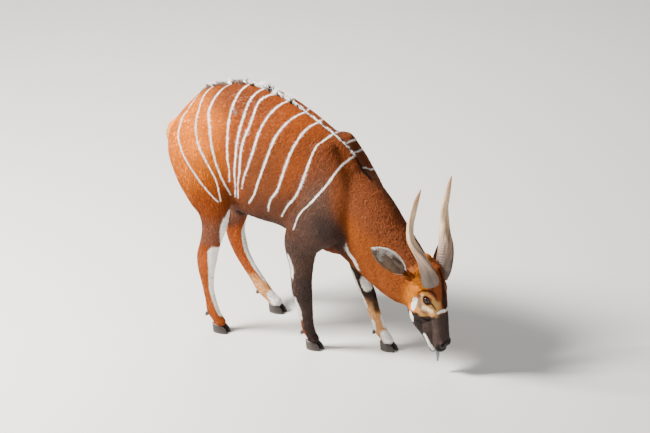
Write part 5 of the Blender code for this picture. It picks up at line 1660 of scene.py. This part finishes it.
# Hooves: black horn, with faint growth rings and a scuffed edge.
hoof = {"long": 0.082, "wide": 0.031, "tall": 0.040, "back": 0.0135, "lean": 0.20, "apart": 0.0172,
        "ringSpacing": 0.0062}
hoofMaterial, tree, shader = newMaterial("blackHoofHorn", **{"Roughness": 0.45, "IOR": 1.55})
tone = addNode(tree, "ShaderNodeAttribute", attribute_name="coat")
where = addNode(tree, "ShaderNodeTexCoord")
scuff = addNode(tree, "ShaderNodeTexNoise", {"Scale": 260.0, "Detail": 5.0},
                {"Vector": where.outputs["Object"]})
light = addNode(tree, "ShaderNodeMapRange",
                {"From Min": 0.3, "From Max": 0.75, "To Min": 0.75, "To Max": 1.5},
                {"Value": scuff.outputs["Fac"]})
shade = addNode(tree, "ShaderNodeVectorMath", links={0: tone.outputs["Color"], 3: light.outputs[0]},
                operation="SCALE")
tree.links.new(shade.outputs[0], shader.inputs["Base Color"])
bump = addNode(tree, "ShaderNodeBump", {"Strength": 0.4, "Distance": 0.0005},
               {"Height": scuff.outputs["Fac"]})
tree.links.new(bump.outputs[0], shader.inputs["Normal"])


def clawMesh(foot, side):
    x, y = foot
    around, levels = 48, 22
    shells = []
    heights = np.array((0.0, 0.006, 0.022, hoof["tall"]))
    for k in range(levels):
        z = hoof["tall"] * k / (levels - 1)
        share = np.interp(z, heights, (0.985, 0.99, 0.92, 0.79))
        shift = np.interp(z, heights, (0.0, -0.001, -0.006, -hoof["back"]))
        share -= 0.006 * (0.5 + 0.5 * math.cos(2 * math.pi * z / hoof["ringSpacing"])) * (0 < k < levels - 1)
        share -= 0.02 * (k == 0)
        ring = []
        for i in range(around):
            a = 2 * math.pi * i / around
            forward, out = math.cos(a), math.sin(a)
            width = hoof["wide"] * (0.56 if out > 0 else 0.34)
            dx, dy = forward * hoof["long"] * 0.5, out * width * (1 - 0.34 * max(forward, 0) ** 2)
            px = x + shift + dx * share
            lift = (px - x + hoof["back"]) * -hoof["lean"] * smooth((z - 0.024) / 0.016)
            ring.append((px, y + side * (hoof["apart"] + dy * share), z + lift))
        shells.append(ring)
    middle = y + side * hoof["apart"]
    ends = ((x, middle, 0.0), (x - hoof["back"], middle, hoof["tall"]))
    mesh = tubeMesh("claw", np.array(shells), ends)
    tubeUv(mesh, levels, around)
    at = placesOf(mesh)
    tones = np.tile(linear("#2c2522"), (len(at), 1))
    tones = blend(tones, "#4a4039", smooth((0.012 - at[:, 2]) / 0.01) * 0.6)
    paint(mesh, tones * (1 + 0.15 * cloud(at, 0.012, 15))[:, None])
    shadeSmooth(mesh)
    return mesh


def spurMesh(leg, side):
    x, y, z = spurPlaces[leg]
    turn = Matrix.Rotation(math.radians(35), 3, "Y")
    mesh = ballMesh("spur", (0, 0, 0), (1, 1, 1), Matrix.Identity(3), 24, 16)
    at = placesOf(mesh)
    taper = (1 - 0.28 * smooth((-at[:, 2]) / 1.0))[:, None]
    at = at * np.array((0.0098, 0.0078, 0.0155)) * np.concatenate([taper, taper, np.ones_like(taper)], axis=1)
    at = at @ np.array(turn).T + np.array((x, y + side * 0.013, z))
    movePlaces(mesh, at)
    mesh.uv_layers.new(name="OFBake")
    paint(mesh, np.tile(linear("#2f2723"), (len(at), 1)))
    shadeSmooth(mesh)
    return mesh


for leg, foot in feet.items():
    for side, word in ((1, "left"), (-1, "right")):
        name = f"{legNodes[leg]}_{word}"
        addPiece(clawMesh(foot, side), f"claw_{name}", hoofMaterial, "hoof", f"claw_{name}")
        addPiece(spurMesh(leg, side), f"dewclaw_{name}", hoofMaterial, "hoof", f"dewclaw_{name}")
print("hooves done")

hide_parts("torso", "neck", "head",
            *[f"{k}_leg_{n}" for k in ("upper", "lower") for n in legNodes.values()])
for piece in pieces:
    stand(piece)
    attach(piece, "root")

# The studio: a pale floor, a dim soft sky and three lamps, with the photo's camera.
studio = {"azimuth": 33.0, "elevation": 22.0, "distance": 85.0, "frameWidth": 650 / 205,
          "aimRight": 0.1707, "aimUp": 0.578, "sky": 0.27, "lampAim": Vector((0.05, 0, 0.6)),
          "lamps": (  # name, place, size, power, tint
              ("keyLamp", (-3.3, -2.6, 4.6), 1.5, 1650, (1.0, 0.97, 0.92)),
              ("fillLamp", (4.2, -3.2, 2.2), 1.1, 55, (0.94, 0.97, 1.0)),
              ("rimLamp", (-2.6, 3.4, 3.8), 2.4, 160, (1.0, 0.98, 0.95)),
          )}


def makeStudio():
    a, e = math.radians(studio["azimuth"]), math.radians(studio["elevation"])
    back = Vector((math.sin(a) * math.cos(e), -math.cos(a) * math.cos(e), math.sin(e)))
    rightWay = Vector((math.cos(a), math.sin(a), 0))
    upWay = back.cross(rightWay)
    aim = -Vector(standsAt) + rightWay * studio["aimRight"] + upWay * studio["aimUp"]
    lens = bpy.data.cameras.new("camera")
    lens.sensor_width = 36.0
    lens.lens = 36.0 * studio["distance"] / studio["frameWidth"]
    lens.clip_end = 600.0
    camera = link(lens, "camera")
    camera.location = aim + back * studio["distance"]
    camera.rotation_euler = Matrix((rightWay, upWay, back)).transposed().to_euler()
    bpy.context.scene.camera = camera

    ground = bmesh.new()
    bmesh.ops.create_grid(ground, x_segments=1, y_segments=1, size=150)
    mesh = meshOf(ground, "floor")
    floor = link(mesh, "floor")
    paper = newMaterial("mattPaperFloor", **{"Base Color": rgba("#d9d6d0"), "Roughness": 0.9})[0]
    mesh.materials.append(paper)

    for name, place, size, power, tint in studio["lamps"]:
        lamp = bpy.data.lights.new(name, "AREA")
        lamp.shape = "SQUARE"
        lamp.size = size
        lamp.energy = power
        lamp.color = tint
        made = link(lamp, name)
        made.location = place
        made.rotation_euler = (studio["lampAim"] - Vector(place)).to_track_quat("-Z", "Y").to_euler()
    world = bpy.data.worlds.new("studioSky")
    bpy.context.scene.world = world
    world.use_nodes = True
    world.node_tree.nodes["Background"].inputs["Color"].default_value = (0.92, 0.95, 1.0, 1)
    world.node_tree.nodes["Background"].inputs["Strength"].default_value = studio["sky"]


makeStudio()
print("triangles", sum(len(p.data.loops) - 2 * len(p.data.polygons) for p in pieces))
